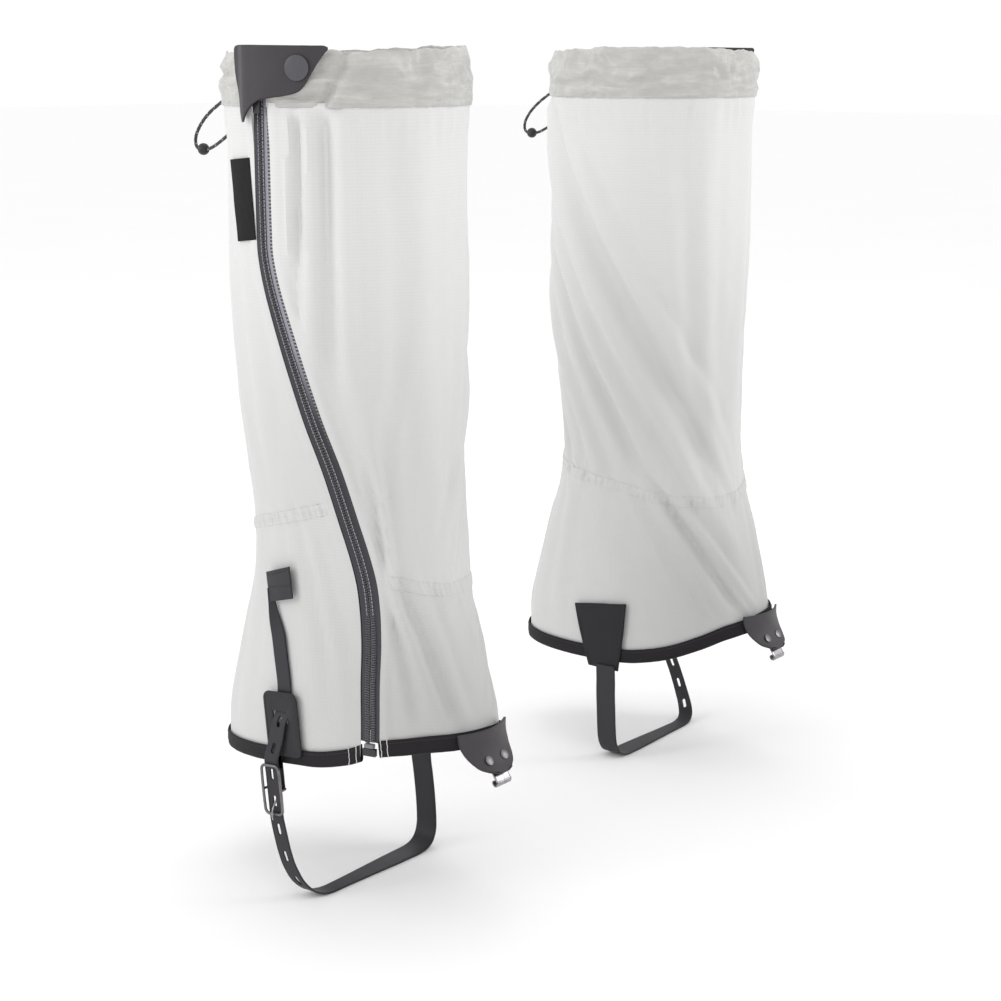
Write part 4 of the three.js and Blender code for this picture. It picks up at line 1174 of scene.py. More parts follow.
# ---------------------------------------------------------------- fabric
@dataclass
class FabricSleeve:
    """The four fabric panels of a sleeve, its heel seam and its gathered ankle strips."""

    finishes: Finishes
    cell: float = 2.4
    overlap: float = 6.0
    strip_height: float = 7.0

    def edges(self, front: bool, z: float) -> tuple[float, float]:
        """The two sides of a panel at a height.

        Args:
            front: Whether it is on the toe side of the zip.
            z: Height.

        Returns:
            Their places round the leg.
        """
        if front:
            return SLEEVE.beside_zip(z, self.overlap), SLEEVE.rear_seam + 360
        return SLEEVE.rear_seam, SLEEVE.beside_zip(z, -self.overlap)

    def panel(self, name: str, front: bool, bottom: Callable[[float], float],
              top: Callable[[float], float]) -> Piece:
        """Lays one panel with its folds.

        Args:
            name: The piece's name.
            front: Whether it is on the toe side of the zip.
            bottom: Height of its lower edge by around position.
            top: Height of its upper edge by around position.

        Returns:
            The panel.
        """
        across = round((300 if front else 125) / self.cell)
        up = round((top(180) - bottom(180)) / self.cell)

        def spot(u: float, v: float) -> tuple[float, float]:
            """Finds a place between the slanted edges, step by step.

            Args:
                u: Share across.
                v: Share up.

            Returns:
                Its place round the leg and its height.
            """
            z = lerp(bottom(180), top(180), v)
            around = 180.0
            for _ in range(6):
                around = lerp(*self.edges(front, z), u)
                z = lerp(bottom(around), top(around), v)
            return around, z

        def place(u: float, v: float) -> Vector:
            """Lays one point of the grid.

            Args:
                u: Share across.
                v: Share up.

            Returns:
                The point, in mm.
            """
            around, z = spot(u, v)
            reach = abs(around % 360 - SLEEVE.zip_at(z)) * SLEEVE.per_degree(around, z)
            welt = 1.05 * smooth(5.5, 6.4, reach) * smooth(11.6, 10.6, reach)
            seam = 0.5 * bump((around - SLEEVE.rear_seam + 180) % 360 - 180, 0, 2.2)
            return SLEEVE.point(around, z, DRAPE.off(around, z) + welt + seam)

        def flat(u: float, v: float) -> tuple[float, float]:
            """Place on the cut cloth in mm for the same shares."""
            around, z = spot(u, v)
            return around * FLAT_ARC, z

        piece = surface(name, across, up, place, flat)
        thicken(piece, FABRIC)
        return piece

    def strip(self, name: str, front: bool) -> Piece:
        """A strip of gathered cloth over the ankle's elastic.

        Args:
            name: The piece's name.
            front: Whether it is on the toe side of the zip.

        Returns:
            The strip.
        """
        start, end = self.edges(front, 207 if front else 240)
        start, end = start + (1.5 if front else 0), end - (0 if front else 1.5)
        length = (end - start) * 1.1

        def place(u: float, v: float) -> Vector:
            """Lays one point of the grid.

            Args:
                u: Share across.
                v: Share up.

            Returns:
                The point, in mm.
            """
            around = lerp(start, end, u)
            z = SLEEVE.ankle(around, front) + (v - 0.5) * self.strip_height
            arc = around * ANKLE_ARC + (v - 0.5) * 2.6
            pucker = math.sin(arc * 2 * math.pi / 3.7 + 1.6 * fuzz(arc / 7, 2.0)) * (0.7 + 0.5 * fuzz(arc / 4, 8.0))
            crown = math.sin(math.pi * v) ** 0.5
            z += 0.35 * fuzz(arc / 2.5, v * 2, 4.0)
            weak = 0.75 * smooth(256, 268, around) * smooth(304, 290, around)
            lift = DRAPE.off(around, z) + 0.32 - 0.1 * weak
            return SLEEVE.point(around, z, lift + crown * (0.35 + 0.42 * pucker) * (1 - weak))

        piece = surface(name, round(length / 0.75), 8, place, lambda u, v: (u * length * 1.3, v * self.strip_height))
        thicken(piece, 0.3)
        return piece

    def seam_stitches(self) -> Piece:
        """Two rows of stitches down the heel seam and one along each welt beside the zip.

        Returns:
            The stitches.
        """
        rows = [[(SLEEVE.rear_seam + shift, z) for z in self.heights(84, 468)] for shift in (-1.6, 1.6)]
        rows += [[(SLEEVE.beside_zip(z, reach), z) for z in self.heights(112, 456)] for reach in (-10.2, 10.2)]
        lines = [[SLEEVE.point(a, z, DRAPE.off(a, z) + 0.5) for a, z in row] for row in rows]
        return stitches("fabric_stitches", lines, 2.6, 1.7, 0.16)

    @staticmethod
    def heights(low: float, high: float) -> list[float]:
        """Heights from low to high, about 2.6 mm apart."""
        count = round((high - low) / 2.6)
        return [lerp(low, high, i / count) for i in range(count + 1)]

    def build(self) -> None:
        """Builds and dresses the fabric."""
        def hem(around: float) -> float:
            """Height of the fabric's lower edge."""
            return SLEEVE.hem(around) + 1.2

        def foot(_: float) -> float:
            """Height of the fabric's upper edge."""
            return SLEEVE.channel_foot + 2.2

        for place, front in (("front", True), ("rear", False)):
            line = (lambda a, f=front: SLEEVE.ankle(a, f))
            upper = dress(self.panel(f"upper_{place}_cloth", front, line, foot), self.finishes.upper)
            settle(upper, Part.GAITER, [f"upper_{place}_panel"],
                   Cloth(320 if front else 135, 285, "gathered"))
            lower = dress(self.panel(f"lower_{place}_cloth", front, hem, line), self.finishes.lower)
            settle(lower, Part.GAITER, [f"lower_{place}_panel"],
                   Cloth(320 if front else 150, 130 if front else 145, "gathered"))
            strip = dress(self.strip(f"ankle_strip_{place}", front), self.finishes.lower)
            settle(strip, Part.GAITER, [f"ankle_elastic_{place}"],
                   Cloth(235 if front else 105, 10, "gathered"))
        settle(dress(self.seam_stitches(), self.finishes.seam), Part.GAITER, [])


def stitches(name: str, lines: Sequence[Sequence[Vector]], pitch: float, length: float,
             radius: float) -> Piece:
    """Rows of short thread stitches laid along lines.

    Args:
        name: The piece's name.
        lines: Points in mm of each row, close together.
        pitch: From one stitch to the next, in mm.
        length: A stitch's length, in mm.
        radius: The thread's radius, in mm.

    Returns:
        All stitches as one piece.
    """
    deselect()
    bpy.ops.mesh.primitive_cylinder_add(vertices=6, radius=1, depth=1, end_fill_type="TRIFAN")
    model = bpy.context.object
    editing(True)
    pick("verts", lambda vert: math.hypot(vert.co.x, vert.co.y) < 0.01)
    bpy.ops.transform.resize(value=(1, 1, 1.5))
    editing(False)
    corners, faces = pattern_of(model)
    rows: list[list[Vector]] = []
    for line in lines:
        run = 0.0
        due = pitch / 2
        for a, b in zip(line, line[1:]):
            step = (b - a).length
            while step and run + step >= due:
                middle = a.lerp(b, (due - run) / step)
                turn = (b - a).to_track_quat("Z", "X").to_matrix()
                rows.append([middle + turn @ Vector((c.x * radius, c.y * radius, c.z * length)) for c in corners])
                due += pitch
            run += step
    return repeated(name, faces, rows, 60)


@dataclass
class DrawChannel:
    """The gathered channel at the rim, which the drawcord runs in."""

    finishes: Finishes

    def build(self) -> None:
        """Builds the channel's doubled cloth and its row of stitches."""
        start = SLEEVE.beside_zip(490, 5.2)
        end = 360 + SLEEVE.beside_zip(490, -5.2)
        profile = ((0.0, 2.35, 470.2), (0.04, 2.45, 470.9), (0.15, 2.3, 475.5), (0.33, 1.7, 484), (0.46, 0.8, 492),
                   (0.54, -0.3, 497.5), (0.6, -1.3, 499.4), (0.66, -2.0, 497.5), (0.78, -1.6, 490), (1.0, 0.05, 471))

        def ruffle(around: float) -> float:
            """Small gathers, tightest where the cord comes out.

            Args:
                around: Where round the leg.

            Returns:
                How far they lift the cloth, before scaling.
            """
            arc = around * CALF_ARC
            gather = 0.65 * fuzz(arc / 5.4, 31.0) + 0.5 * fuzz(arc / 2.7, 37.0)
            return gather * lerp(0.55, 1.5, bump((around % 360 - 92 + 180) % 360 - 180, 0, 24))

        def place(u: float, v: float) -> Vector:
            """Lays one point of the grid.

            Args:
                u: Share across.
                v: Share up.

            Returns:
                The point, in mm.
            """
            around = lerp(start, end, u)
            arc = around * CALF_ARC
            off, z = curve_at(profile, v), curve_at(profile, v, 2)
            rise = smooth(474, 499, z)
            ends = smooth(0, 0.02, u) * smooth(1, 0.98, u)
            swept = z + 7 * fuzz(arc / 21, 40.0) + 3 * fuzz(arc / 8, 41.0)
            ridge = 1 - 2.6 * abs(fuzz(arc / 27, swept / 11.5, 44.0))
            crease = max(math.sin((z - 471) / 28 * math.pi), 0) ** 0.7 * (
                2.1 * ridge + 3.2 * fuzz(arc / 17 - z / 30, swept / 10.5, 51.0) + 0.9 * fuzz(arc / 6, swept / 6, 57.0))
            crease -= 2.6 * bump(arc, 258 + (z - 480) * 0.5, 3.0) - 2.2 * bump(arc, 265 + (z - 480) * 0.6, 4.0)
            pleat = ruffle(around)
            outside = 1.0 if v < 0.6 else 0.3
            off += outside * ends * (crease + 1.1 * pleat * lerp(0.5, 1.0, rise))
            off += outside * 0.6 * ends * fuzz(arc / 2.1, z / 9, 60.0) * smooth(480, 470, z)
            inward = bump((around + 180) % 360 - 180, -32, 72)
            z += ends * rise * (0.7 * fuzz(arc / 6.4, 70.0) + 1.3 * fuzz(arc / 14, 75.0) + 0.8 * pleat + 4.0 * inward)
            z += 0.5 * fuzz(arc / 2.4, 78.0) * smooth(474, 470, z)
            return SLEEVE.point(around, min(z, 504.0), off)

        piece = surface("channel_cloth", 300, 34, place, lambda u, v: ((end - start) * FLAT_ARC * u, v * 62))
        thicken(piece, FABRIC, even=False)
        settle(dress(piece, self.finishes.channel), Part.GAITER, ["top_channel"],
               Cloth(440, 66, "gathered"))
        line = [SLEEVE.point(a, 472.4 + 0.5 * fuzz(a * 0.5, 78.0), 2.35 + 0.4 * fuzz(a * 0.57, 3.0))
                for a in (lerp(start + 4, end - 4, i / 360) for i in range(361))]
        row = stitches("channel_stitches", [line], 2.7, 1.9, 0.19)
        settle(dress(row, self.finishes.seam), Part.GAITER, [])


# ---------------------------------------------------------------- hem
@dataclass
class HemBinding:
    """The dark tape folded over the hem, with its rows of thread and bar tacks."""

    finishes: Finishes
    length: float = 520.0
    width: float = 21.0

    def ends(self) -> tuple[float, float]:
        """Around positions of the tape's two ends, beside the zip."""
        return SLEEVE.beside_zip(104, 6.4), 360 + SLEEVE.beside_zip(104, -6.4)

    def build(self) -> None:
        """Builds the tape and its threads."""
        start, end = self.ends()
        profile = ((0.0, 1.75, 10.0), (0.08, 2.05, 9.2), (0.3, 2.15, 3.5), (0.42, 1.75, 0.8), (0.5, 0.5, 0.0),
                   (0.58, -0.75, 0.8), (0.7, -1.15, 3.5), (0.92, -1.0, 9.2), (1.0, -0.8, 10.0))

        def place(u: float, v: float) -> Vector:
            """Lays one point of the grid.

            Args:
                u: Share across.
                v: Share up.

            Returns:
                The point, in mm.
            """
            around = lerp(start, end, u)
            arc = around * HEM_ARC
            off, rise = curve_at(profile, v), curve_at(profile, v, 2)
            wave = 0.2 * fuzz(arc / 16, 5.0) + 0.08 * fuzz(arc / 4, rise / 3)
            ridge = 0.1 * math.sin(rise * 2 * math.pi / 2.5)
            return SLEEVE.point(around, SLEEVE.hem(around) + rise + 0.12 * fuzz(arc / 9, 1.0), off + wave + ridge)

        piece = surface("binding_tape", 300, 26, place, lambda u, v: (u * self.length, v * self.width))
        store_rim(piece, lambda x, y: min(y, self.width - y, abs(y - 8)))
        thicken(piece, 0.45)
        settle(dress(piece, self.finishes.binding), Part.GAITER, ["hem_binding"],
               Cloth(self.length, 23, "stretched"))
        turns = [lerp(start + 1, end - 1, i / 500) for i in range(501)]
        line = [SLEEVE.point(a, SLEEVE.hem(a) + 8.2, 2.42) for a in turns]
        settle(dress(stitches("binding_stitches", [line], 2.4, 1.6, 0.15), self.finishes.dark),
               Part.GAITER, [])
        self.tacks()

    def tacks(self) -> None:
        """White tacks through the tape beside the zip and at the heel."""
        threads = []
        for side in (-1, 1):
            for reach in (8.2, 12.6) if side > 0 else (8.6, 13.4):
                line = []
                for i in range(9):
                    rise = -0.2 + i * 1.35
                    around = SLEEVE.beside_zip(104, side * reach)
                    lean = 0.35 * fuzz(i * 0.8, reach * side)
                    line.append(SLEEVE.point(around + lean, SLEEVE.hem(around) + rise, 2.5))
                threads.append(wire("tack", line, 0.24, 1))
        for i in range(5):
            around = 98 + i * 0.55
            line = [SLEEVE.point(around + 0.5 * k, SLEEVE.hem(around) + 5.2 + 1.1 * k + i * 0.35, 2.55 + 0.2 * (k % 2))
                    for k in range(4)]
            threads.append(wire("tack", line, 0.2, 1))
        settle(dress(joined("white_tacks", threads), self.finishes.white), Part.GAITER, [])


# ---------------------------------------------------------------- zip
@dataclass
class ZipFastener:
    """The side zip: two tapes with their coils and threads, its slider, pull and bottom stop."""

    finishes: Finishes
    low: float = 107.4
    high: float = 498.4
    pitch: float = 1.45

    def heights(self, step: float) -> list[float]:
        """Heights along the zip, a step apart."""
        count = round((self.high - self.low) / step)
        return [lerp(self.low, self.high, i / count) for i in range(count + 1)]

    def tape(self, side: int) -> Piece:
        """One tape, from the middle to where the fabric's welt covers it.

        Args:
            side: 1 towards the toe, -1 towards the heel.

        Returns:
            The tape.
        """
        profile = ((0.0, 0.25, 0.95), (0.1, 0.8, 1.3), (0.28, 1.9, 1.42), (0.36, 2.3, 1.05), (0.66, 4.1, 1.0),
                   (0.7, 4.4, 1.2), (0.85, 5.4, 1.1), (1.0, 6.9, 0.25))

        def place(u: float, v: float) -> Vector:
            """Lays one point of the grid.

            Args:
                u: Share across.
                v: Share up.

            Returns:
                The point, in mm.
            """
            share = u if side > 0 else 1 - u
            z = lerp(self.low, self.high, v)
            reach = curve_at(profile, share)
            return SLEEVE.point(SLEEVE.beside_zip(z, side * reach), z, curve_at(profile, share, 2) - 0.45)

        def flat(u: float, v: float) -> tuple[float, float]:
            """Place on the cut cloth in mm for the same shares."""
            reach = curve_at(profile, u if side > 0 else 1 - u)
            return side * reach, v * (self.high - self.low) * 1.04

        piece = surface("tape", 20, 190, place, flat)
        thicken(piece, 0.4)
        return dress(piece, self.finishes.tape)

    def coil(self, side: int) -> Piece:
        """One side's row of coil turns, modelled once and repeated.

        Args:
            side: 1 towards the toe, -1 towards the heel.

        Returns:
            The row.
        """
        deselect()
        bpy.ops.mesh.primitive_cylinder_add(vertices=8, radius=0.5, depth=1.0, end_fill_type="NGON")
        model = bpy.context.object
        editing(True)
        bpy.ops.mesh.select_all(action="SELECT")
        bpy.ops.transform.resize(value=(1.0, 0.9, 1.9))
        pick("faces", lambda face: abs(face.normal.z) > 0.9)
        bpy.ops.mesh.inset(thickness=0.12, depth=0.14)
        editing(False)
        corners, faces = pattern_of(model)
        rows = []
        for i, z in enumerate(self.heights(self.pitch)):
            z = min(z + (self.pitch / 2 if side > 0 else 0), self.high)
            wide = lerp(1.0, 1.5, smooth(200, 165, z))
            seat = seat_on(SLEEVE.beside_zip(z, side * 1.15 * wide), z, 1.15)
            ahead = SLEEVE.point(SLEEVE.zip_at(z + 1), z + 1, 0) - SLEEVE.point(SLEEVE.zip_at(z - 1), z - 1, 0)
            local = seat.to_3x3().inverted() @ ahead
            turn = Matrix.Rotation(math.atan2(-local.x, local.y) + side * 0.16, 4, "Z") @ Matrix.Rotation(
                math.radians(90), 4, "Y")
            rows.append([seat @ turn @ Vector((c.x, c.y, c.z * wide)) for c in corners])
        return dress(repeated("coil", faces, rows, 50), self.finishes.coil)

    def threads(self, side: int) -> Piece:
        """The pale chain stitch that holds one side's coil, above the ankle.

        Args:
            side: 1 towards the toe, -1 towards the heel.

        Returns:
            The stitches.
        """
        line = [SLEEVE.point(SLEEVE.beside_zip(z, side * 1.75), z, 1.78) for z in self.heights(1.3) if z > 182]
        return dress(stitches("threads", [line], 2.3, 1.35, 0.24), self.finishes.pale)

    def stop(self) -> None:
        """The zip's bottom end: a pale band over a dark box."""
        seat = seat_on(SLEEVE.zip_at(103), 103, 0)
        parts = []
        for size, at, finish in (((8.6, 4.6, 2.8), (0, -1.6, 1.25), self.finishes.plastic),
                                 ((6.2, 2.5, 3.1), (0, 2.3, 1.35), self.finishes.stop)):
            parts.append(dress(block("stop", size, at, 0.45, seat), finish))
        settle(joined("zip_stop", parts), Part.GAITER, ["zip_box"])

    def slider(self) -> None:
        """The slider, rounded, with its crown, and the pull that hangs from it."""
        seat = seat_on(180, 481.5, 0)
        body = [block("slider", (8, 9.4, 1.2), (0, 0, 2.9), 0.5, seat),
                block("slider", (7.4, 9.2, 1.0), (0, 0, -0.8), 0.4, seat),
                block("slider", (0.9, 2.6, 3.6), (0, 3, 1.1), 0.2, seat)]
        crown = ((2.0, 3.4), (1.7, 4.6), (0.8, 5.3), (-0.8, 5.3), (-1.7, 4.6), (-2.0, 3.4))
        body.append(wire("crown", spline([seat @ Vector((0, y, z)) for y, z in crown], 4), 0.5, 2))
        for part in body:
            dress(part, self.finishes.plastic)
        settle(joined("zip_slider_body", body), Part.SLIDER, ["zip_slider"])
        pull = block("pull", (5, 11.4, 1.1), (0, -8.9, 4.45), 0.4, seat)
        arms = [block("pull", (0.95, 5.2, 1.1), (side * 1.95, -1.7, 4.45), 0.3, seat) for side in (-1, 1)]
        pin = wire("pin", [seat @ Vector((x, 0, 4.45)) for x in (-2.2, 2.2)], 0.45, 2)
        for part in (pull, *arms, pin):
            dress(part, self.finishes.plastic)
        settle(joined("zip_pull_tab", [pull, *arms, pin]), Part.PULL, ["zip_pull"])

    def build(self) -> None:
        """Builds the whole zip."""
        for name, side in (("front", 1), ("rear", -1)):
            settle(joined(f"zip_tape_{name}", [self.tape(side), self.coil(side), self.threads(side)]),
                   Part.GAITER, [f"zip_stringer_{name}"])
        self.stop()
        self.slider()


def rounded_box(size: Sequence[float], at: Sequence[float], rounding: float, steps: int) -> Piece:
    """A box with rounded edges.

    Args:
        size: Its three sizes in mm.
        at: Its middle in mm.
        rounding: Radius of its edges in mm.
        steps: Steps in the rounding.

    Returns:
        The box, in mm about the origin.
    """
    deselect()
    bpy.ops.mesh.primitive_cube_add(size=1)
    editing(True)
    bpy.ops.mesh.select_all(action="SELECT")
    bpy.ops.transform.resize(value=tuple(size))
    bpy.ops.transform.translate(value=tuple(at))
    bpy.ops.mesh.bevel(offset=rounding, segments=steps, affect="EDGES")
    editing(False)
    return bpy.context.object


def block(name: str, size: Sequence[float], at: Sequence[float], rounding: float, seat: Matrix) -> Piece:
    """A small moulded block with rounded edges, in a seat.

    Args:
        name: The piece's name.
        size: Its three sizes in mm.
        at: Its middle in the seat.
        rounding: Radius of its edges in mm.
        seat: Where it goes.

    Returns:
        The block.
    """
    piece = rounded_box(size, at, rounding, 3)
    named(piece, name)
    piece.data.uv_layers.active.name = "cloth"
    placed(piece, seat)
    smooth_shade(piece, 50)
    return piece


# ---------------------------------------------------------------- flap, label and snap
@dataclass
class TopFlap:
    """The coated flap over the top of the zip, with its press stud."""

    finishes: Finishes
    # around, lower edge, upper edge, stand-off of the inner face
    shape: tuple[Row, ...] = (
        (164.5, 497, 501.2, 2.9), (165.4, 488, 502.7, 2.9), (168, 477, 503.4, 3.0), (170.3, 466.5, 503.5, 4.1),
        (172.3, 461.9, 503.5, 5.2), (174, 463.6, 503.5, 6.2), (177, 468.2, 503.5, 6.95), (180, 471.6, 503.5, 7.0),
        (184, 474.2, 503.4, 7.0), (190, 475.3, 503.3, 6.6), (196, 476.4, 503.2, 6.25), (202, 478.4, 503.1, 6.2),
        (205, 482, 503.1, 6.15), (208, 488.2, 503, 6.05), (211, 494.4, 503, 5.85), (213.4, 498.6, 502.9, 5.7),
        (215, 500.6, 502.0, 5.6))
    thickness: float = 1.2
    cap_radius: float = 6.9
    cap_at: tuple[float, float] = (202.2, 491.3)

    def build(self) -> None:
        """Builds the flap and the stud's cap."""
        first, last = self.shape[0][0], self.shape[-1][0]

        def place(u: float, v: float) -> Vector:
            """Lays one point of the grid.

            Args:
                u: Share across.
                v: Share up.

            Returns:
                The point, in mm.
            """
            around = lerp(first, last, u)
            z = lerp(curve_at(self.shape, around), curve_at(self.shape, around, 2), v)
            ease = 0.25 * fuzz(around / 9, z / 14)
            return SLEEVE.point(around, z, curve_at(self.shape, around, 3) + self.thickness / 2 + ease)

        piece = surface("top_flap_sheet", 72, 26, place,
                        lambda u, v: (lerp(first, last, u) * 1.3, lerp(curve_at(self.shape, lerp(first, last, u)),
                                                                      503.5, v)))
        edge = piece.data.attributes.new("rim", "FLOAT", "POINT")
        for vertex, item in zip(piece.data.vertices, edge.data):
            around = 180 + math.degrees(math.atan2(-vertex.co.y, -(vertex.co.x / MM + LEG_AXIS_X) * MM))
            z = vertex.co.z / MM
            item.value = min(z - curve_at(self.shape, around), 503.3 - z, (around - first) * 1.3,
                             (last - around) * 1.3) * MM
        thicken(piece, self.thickness, 0.35)
        settle(dress(piece, self.finishes.leather), Part.FLAP, ["top_flap"])
        self.cap()

    def cap(self) -> None:
        """The stud's domed cap, turned from a disc."""
        piece = worked_disc(48, self.cap_radius, 0.9, 0.6, (
            (0.35, 0.28), (0.5, 0.05), (0.5, -0.12), (0.6, 0.42), (1.0, 0.42), (1.4, 0.3), (1.4, 0.12)))
        named(piece, "snap_cap_dome")
        placed(piece, seat_on(*self.cap_at, 6.2 + self.thickness + 0.2))
        bevel(piece, 0.18 * MM, 40)
        smooth_shade(piece, 50)
        settle(dress(piece, self.finishes.snap), Part.FLAP, ["snap_cap"])


@dataclass(frozen=True)
class Patch:
    """A four-cornered piece of sheet laid on the sleeve."""

    name: str
    corners: tuple[tuple[float, float], ...]
    off: float
    thickness: float
    size: tuple[float, float]
    cells: tuple[int, int] = (28, 36)
    bow: float = 0.0

    def build(self) -> Piece:
        """Lays the patch, its corners from lower left to upper left.

        Returns:
            The patch.
        """
        (a0, z0), (a1, z1), (a2, z2), (a3, z3) = self.corners

        def place(u: float, v: float) -> Vector:
            """Lays one point of the grid.

            Args:
                u: Share across.
                v: Share up.

            Returns:
                The point, in mm.
            """
            around = lerp(lerp(a0, a1, u), lerp(a3, a2, u), v)
            z = lerp(lerp(z0, z1, u), lerp(z3, z2, u), v)
            z += self.bow * math.sin(math.pi * u) * (1 if v > 0.5 else -1) * abs(2 * v - 1)
            ease = 0.16 * fuzz(around / 6, z / 9, self.off)
            return SLEEVE.point(around, z, self.off + self.thickness / 2 + ease)

        width, length = self.size
        piece = surface(self.name, *self.cells, place, lambda u, v: (u * width, v * length))
        store_rim(piece, lambda x, y: min(x, width - x, y, length - y))
        thicken(piece, self.thickness, 0.22)
        return piece


# ---------------------------------------------------------------- strap and buckle
LEAN = math.radians(6)
ANCHOR = Vector((-52.8, 12.2, 106.5))
BUCKLE = Vector((-57.5, 16.5, 65.5))
BAR_SETBACK = 3.1


def side_seat(centre: Vector) -> Matrix:
    """Axes on the outer side of the foot: X to the toe, Y up, Z outwards, leaning back at the top.

    Args:
        centre: Their origin, in mm.

    Returns:
        The seat.
    """
    toe = Vector((0, -math.cos(LEAN), math.sin(LEAN)))
    up = Vector((0, math.sin(LEAN), math.cos(LEAN)))
    return Matrix.Translation(centre) @ Matrix((toe, up, Vector((-1, 0, 0)))).transposed().to_4x4()


@dataclass
class StrapSet:
    """The instep strap with its prong holes, its keeper, its anchor patch and its inner patch."""

    finishes: Finishes
    thickness: float = 1.1
    half: float = 5.4
    half_inner: float = 8.0
    hole_pitch: float = 17.0
    crossing: float = 7.6
    anchor_size: tuple[float, float] = (27.5, 40.0)
    line: tuple[Spot, ...] = (
        (-51.3, 12.7, 117.2), (-51.9, 12.8, 114), (-53.4, 13, 111), (-54.9, 13.3, 107.9), (-55.4, 13.8, 104.5),
        (-55.9, 15.2, 97), (-56.8, 17, 90))
    under: tuple[Spot, ...] = (
        (-57.8, 13.2, 43), (-58.4, 10.5, 36), (-58.8, 7.5, 28), (-58.4, 4, 19.5), (-56.4, -0.5, 11),
        (-52.4, -4.4, 5.2), (-47.4, -6.7, 2.2), (-42, -7.9, 0.95), (-38, -8.3, 0.62), (-35, -8.5, 0.57),
        (-28, -8.5, 0.57), (0, -8.5, 0.57), (28, -8.5, 0.57), (35, -8.5, 0.57), (38, -8.5, 0.62),
        (42, -8.5, 0.95), (47.4, -8.4, 2.2), (52.4, -8, 5.6), (55.6, -7.4, 12), (56.4, -6.8, 21),
        (56.2, -6, 35), (55.6, -5, 48), (54.8, -4.4, 57), (54.65, -4.1, 63), (54.65, -3.9, 69))
    tail: tuple[Row, ...] = (
        (164.6, 190, 0.9), (165.5, 182, 0.9), (167.4, 168, 0.9), (169.8, 150, 0.7), (172, 132, 0.35), (172.2, 122, 0.0))

    def centres(self) -> list[Vector]:
        """The strap's centre line, from its tucked end to the inner patch.

        Returns:
            Its points, in mm.
        """
        off = 1.35 + self.thickness / 2
        points = [SLEEVE.point(a, z, off + bow) for a, z, bow in self.tail]
        points += [Vector(p) for p in self.line]
        points += [side_seat(BUCKLE) @ Vector((0, up, 0)) for up in (18, 9, 0, -9, -17.5)]
        points += [Vector(p) for p in self.under]
        return spline(points, 8)

    def strap(self) -> Piece:
        """The strap as one ribbon, twisted where it leaves the keeper.

        Returns:
            The strap, with its holes.
        """
        line = self.centres()
        run = run_along(line)
        last = len(line) - 1

        def place(u: float, v: float) -> Vector:
            """Lays one point of the grid.

            Args:
                u: Share across.
                v: Share up.

            Returns:
                The point, in mm.
            """
            i = round(v * last)
            point = line[i]
            along = (line[min(i + 1, last)] - line[max(i - 1, 0)]).normalized()
            across = (Vector((0, 1, 0)) - along * along.y).normalized()
            outward = across.cross(along)
            tucked = smooth(158, 183, point.z) if point.x < 0 else 0.0
            half = lerp(self.half, self.half_inner, smooth(-38, 40, point.x)) * lerp(1, 0.42, tucked)
            turn = math.radians(30) * tucked
            across = across * math.cos(turn) + outward * math.sin(turn)
            share = 2 * u - 1
            curl = 0.3 * tucked * share * share
            return point + across * half * share + outward * (curl + 0.5 * tucked) + Vector((0, 2.2 * tucked, 0))

        piece = surface("instep_strap_band", 10, last, place,
                        lambda u, v: (u * 2 * self.half, run[round(v * last)]))
        store_rim(piece, lambda x, y: min(x, 2 * self.half - x))
        thicken(piece, self.thickness, 0.22)
        nearest = min(range(len(line)), key=lambda i: (line[i] - BUCKLE).length)
        cutters = []
        for step in range(-3, 4):
            reach = run[nearest] + self.crossing + step * self.hole_pitch
            i = bisect.bisect_left(run, reach)
            along = (line[i + 1] - line[i - 1]).normalized()
            across = (Vector((0, 1, 0)) - along * along.y).normalized()
            basis = Matrix((across, along, across.cross(along))).transposed().to_4x4()
            cutters.append(self.cutter(Matrix.Translation(line[i]) @ basis))
        tool = joined("holes", cutters)
        apply_modifier(piece, "BOOLEAN", object=tool, operation="DIFFERENCE", solver="EXACT")
        bpy.data.objects.remove(tool)
        smooth_shade(piece)
        return piece

    @staticmethod
    def cutter(seat: Matrix) -> Piece:
        """A punch for one prong hole.

        Args:
            seat: The hole's middle, with Y along the strap.

        Returns:
            The punch.
        """
        deselect()
        bpy.ops.mesh.primitive_cylinder_add(vertices=20, radius=1.4, depth=5)
        piece = bpy.context.object
        editing(True)
        shape = bmesh.from_edit_mesh(piece.data)
        for vert in shape.verts:
            vert.co.y += 1.7 if vert.co.y > 0 else -2.5  # longer towards the bar, where the raised prong goes
        bmesh.update_edit_mesh(piece.data)
        editing(False)
        return placed(piece, seat)

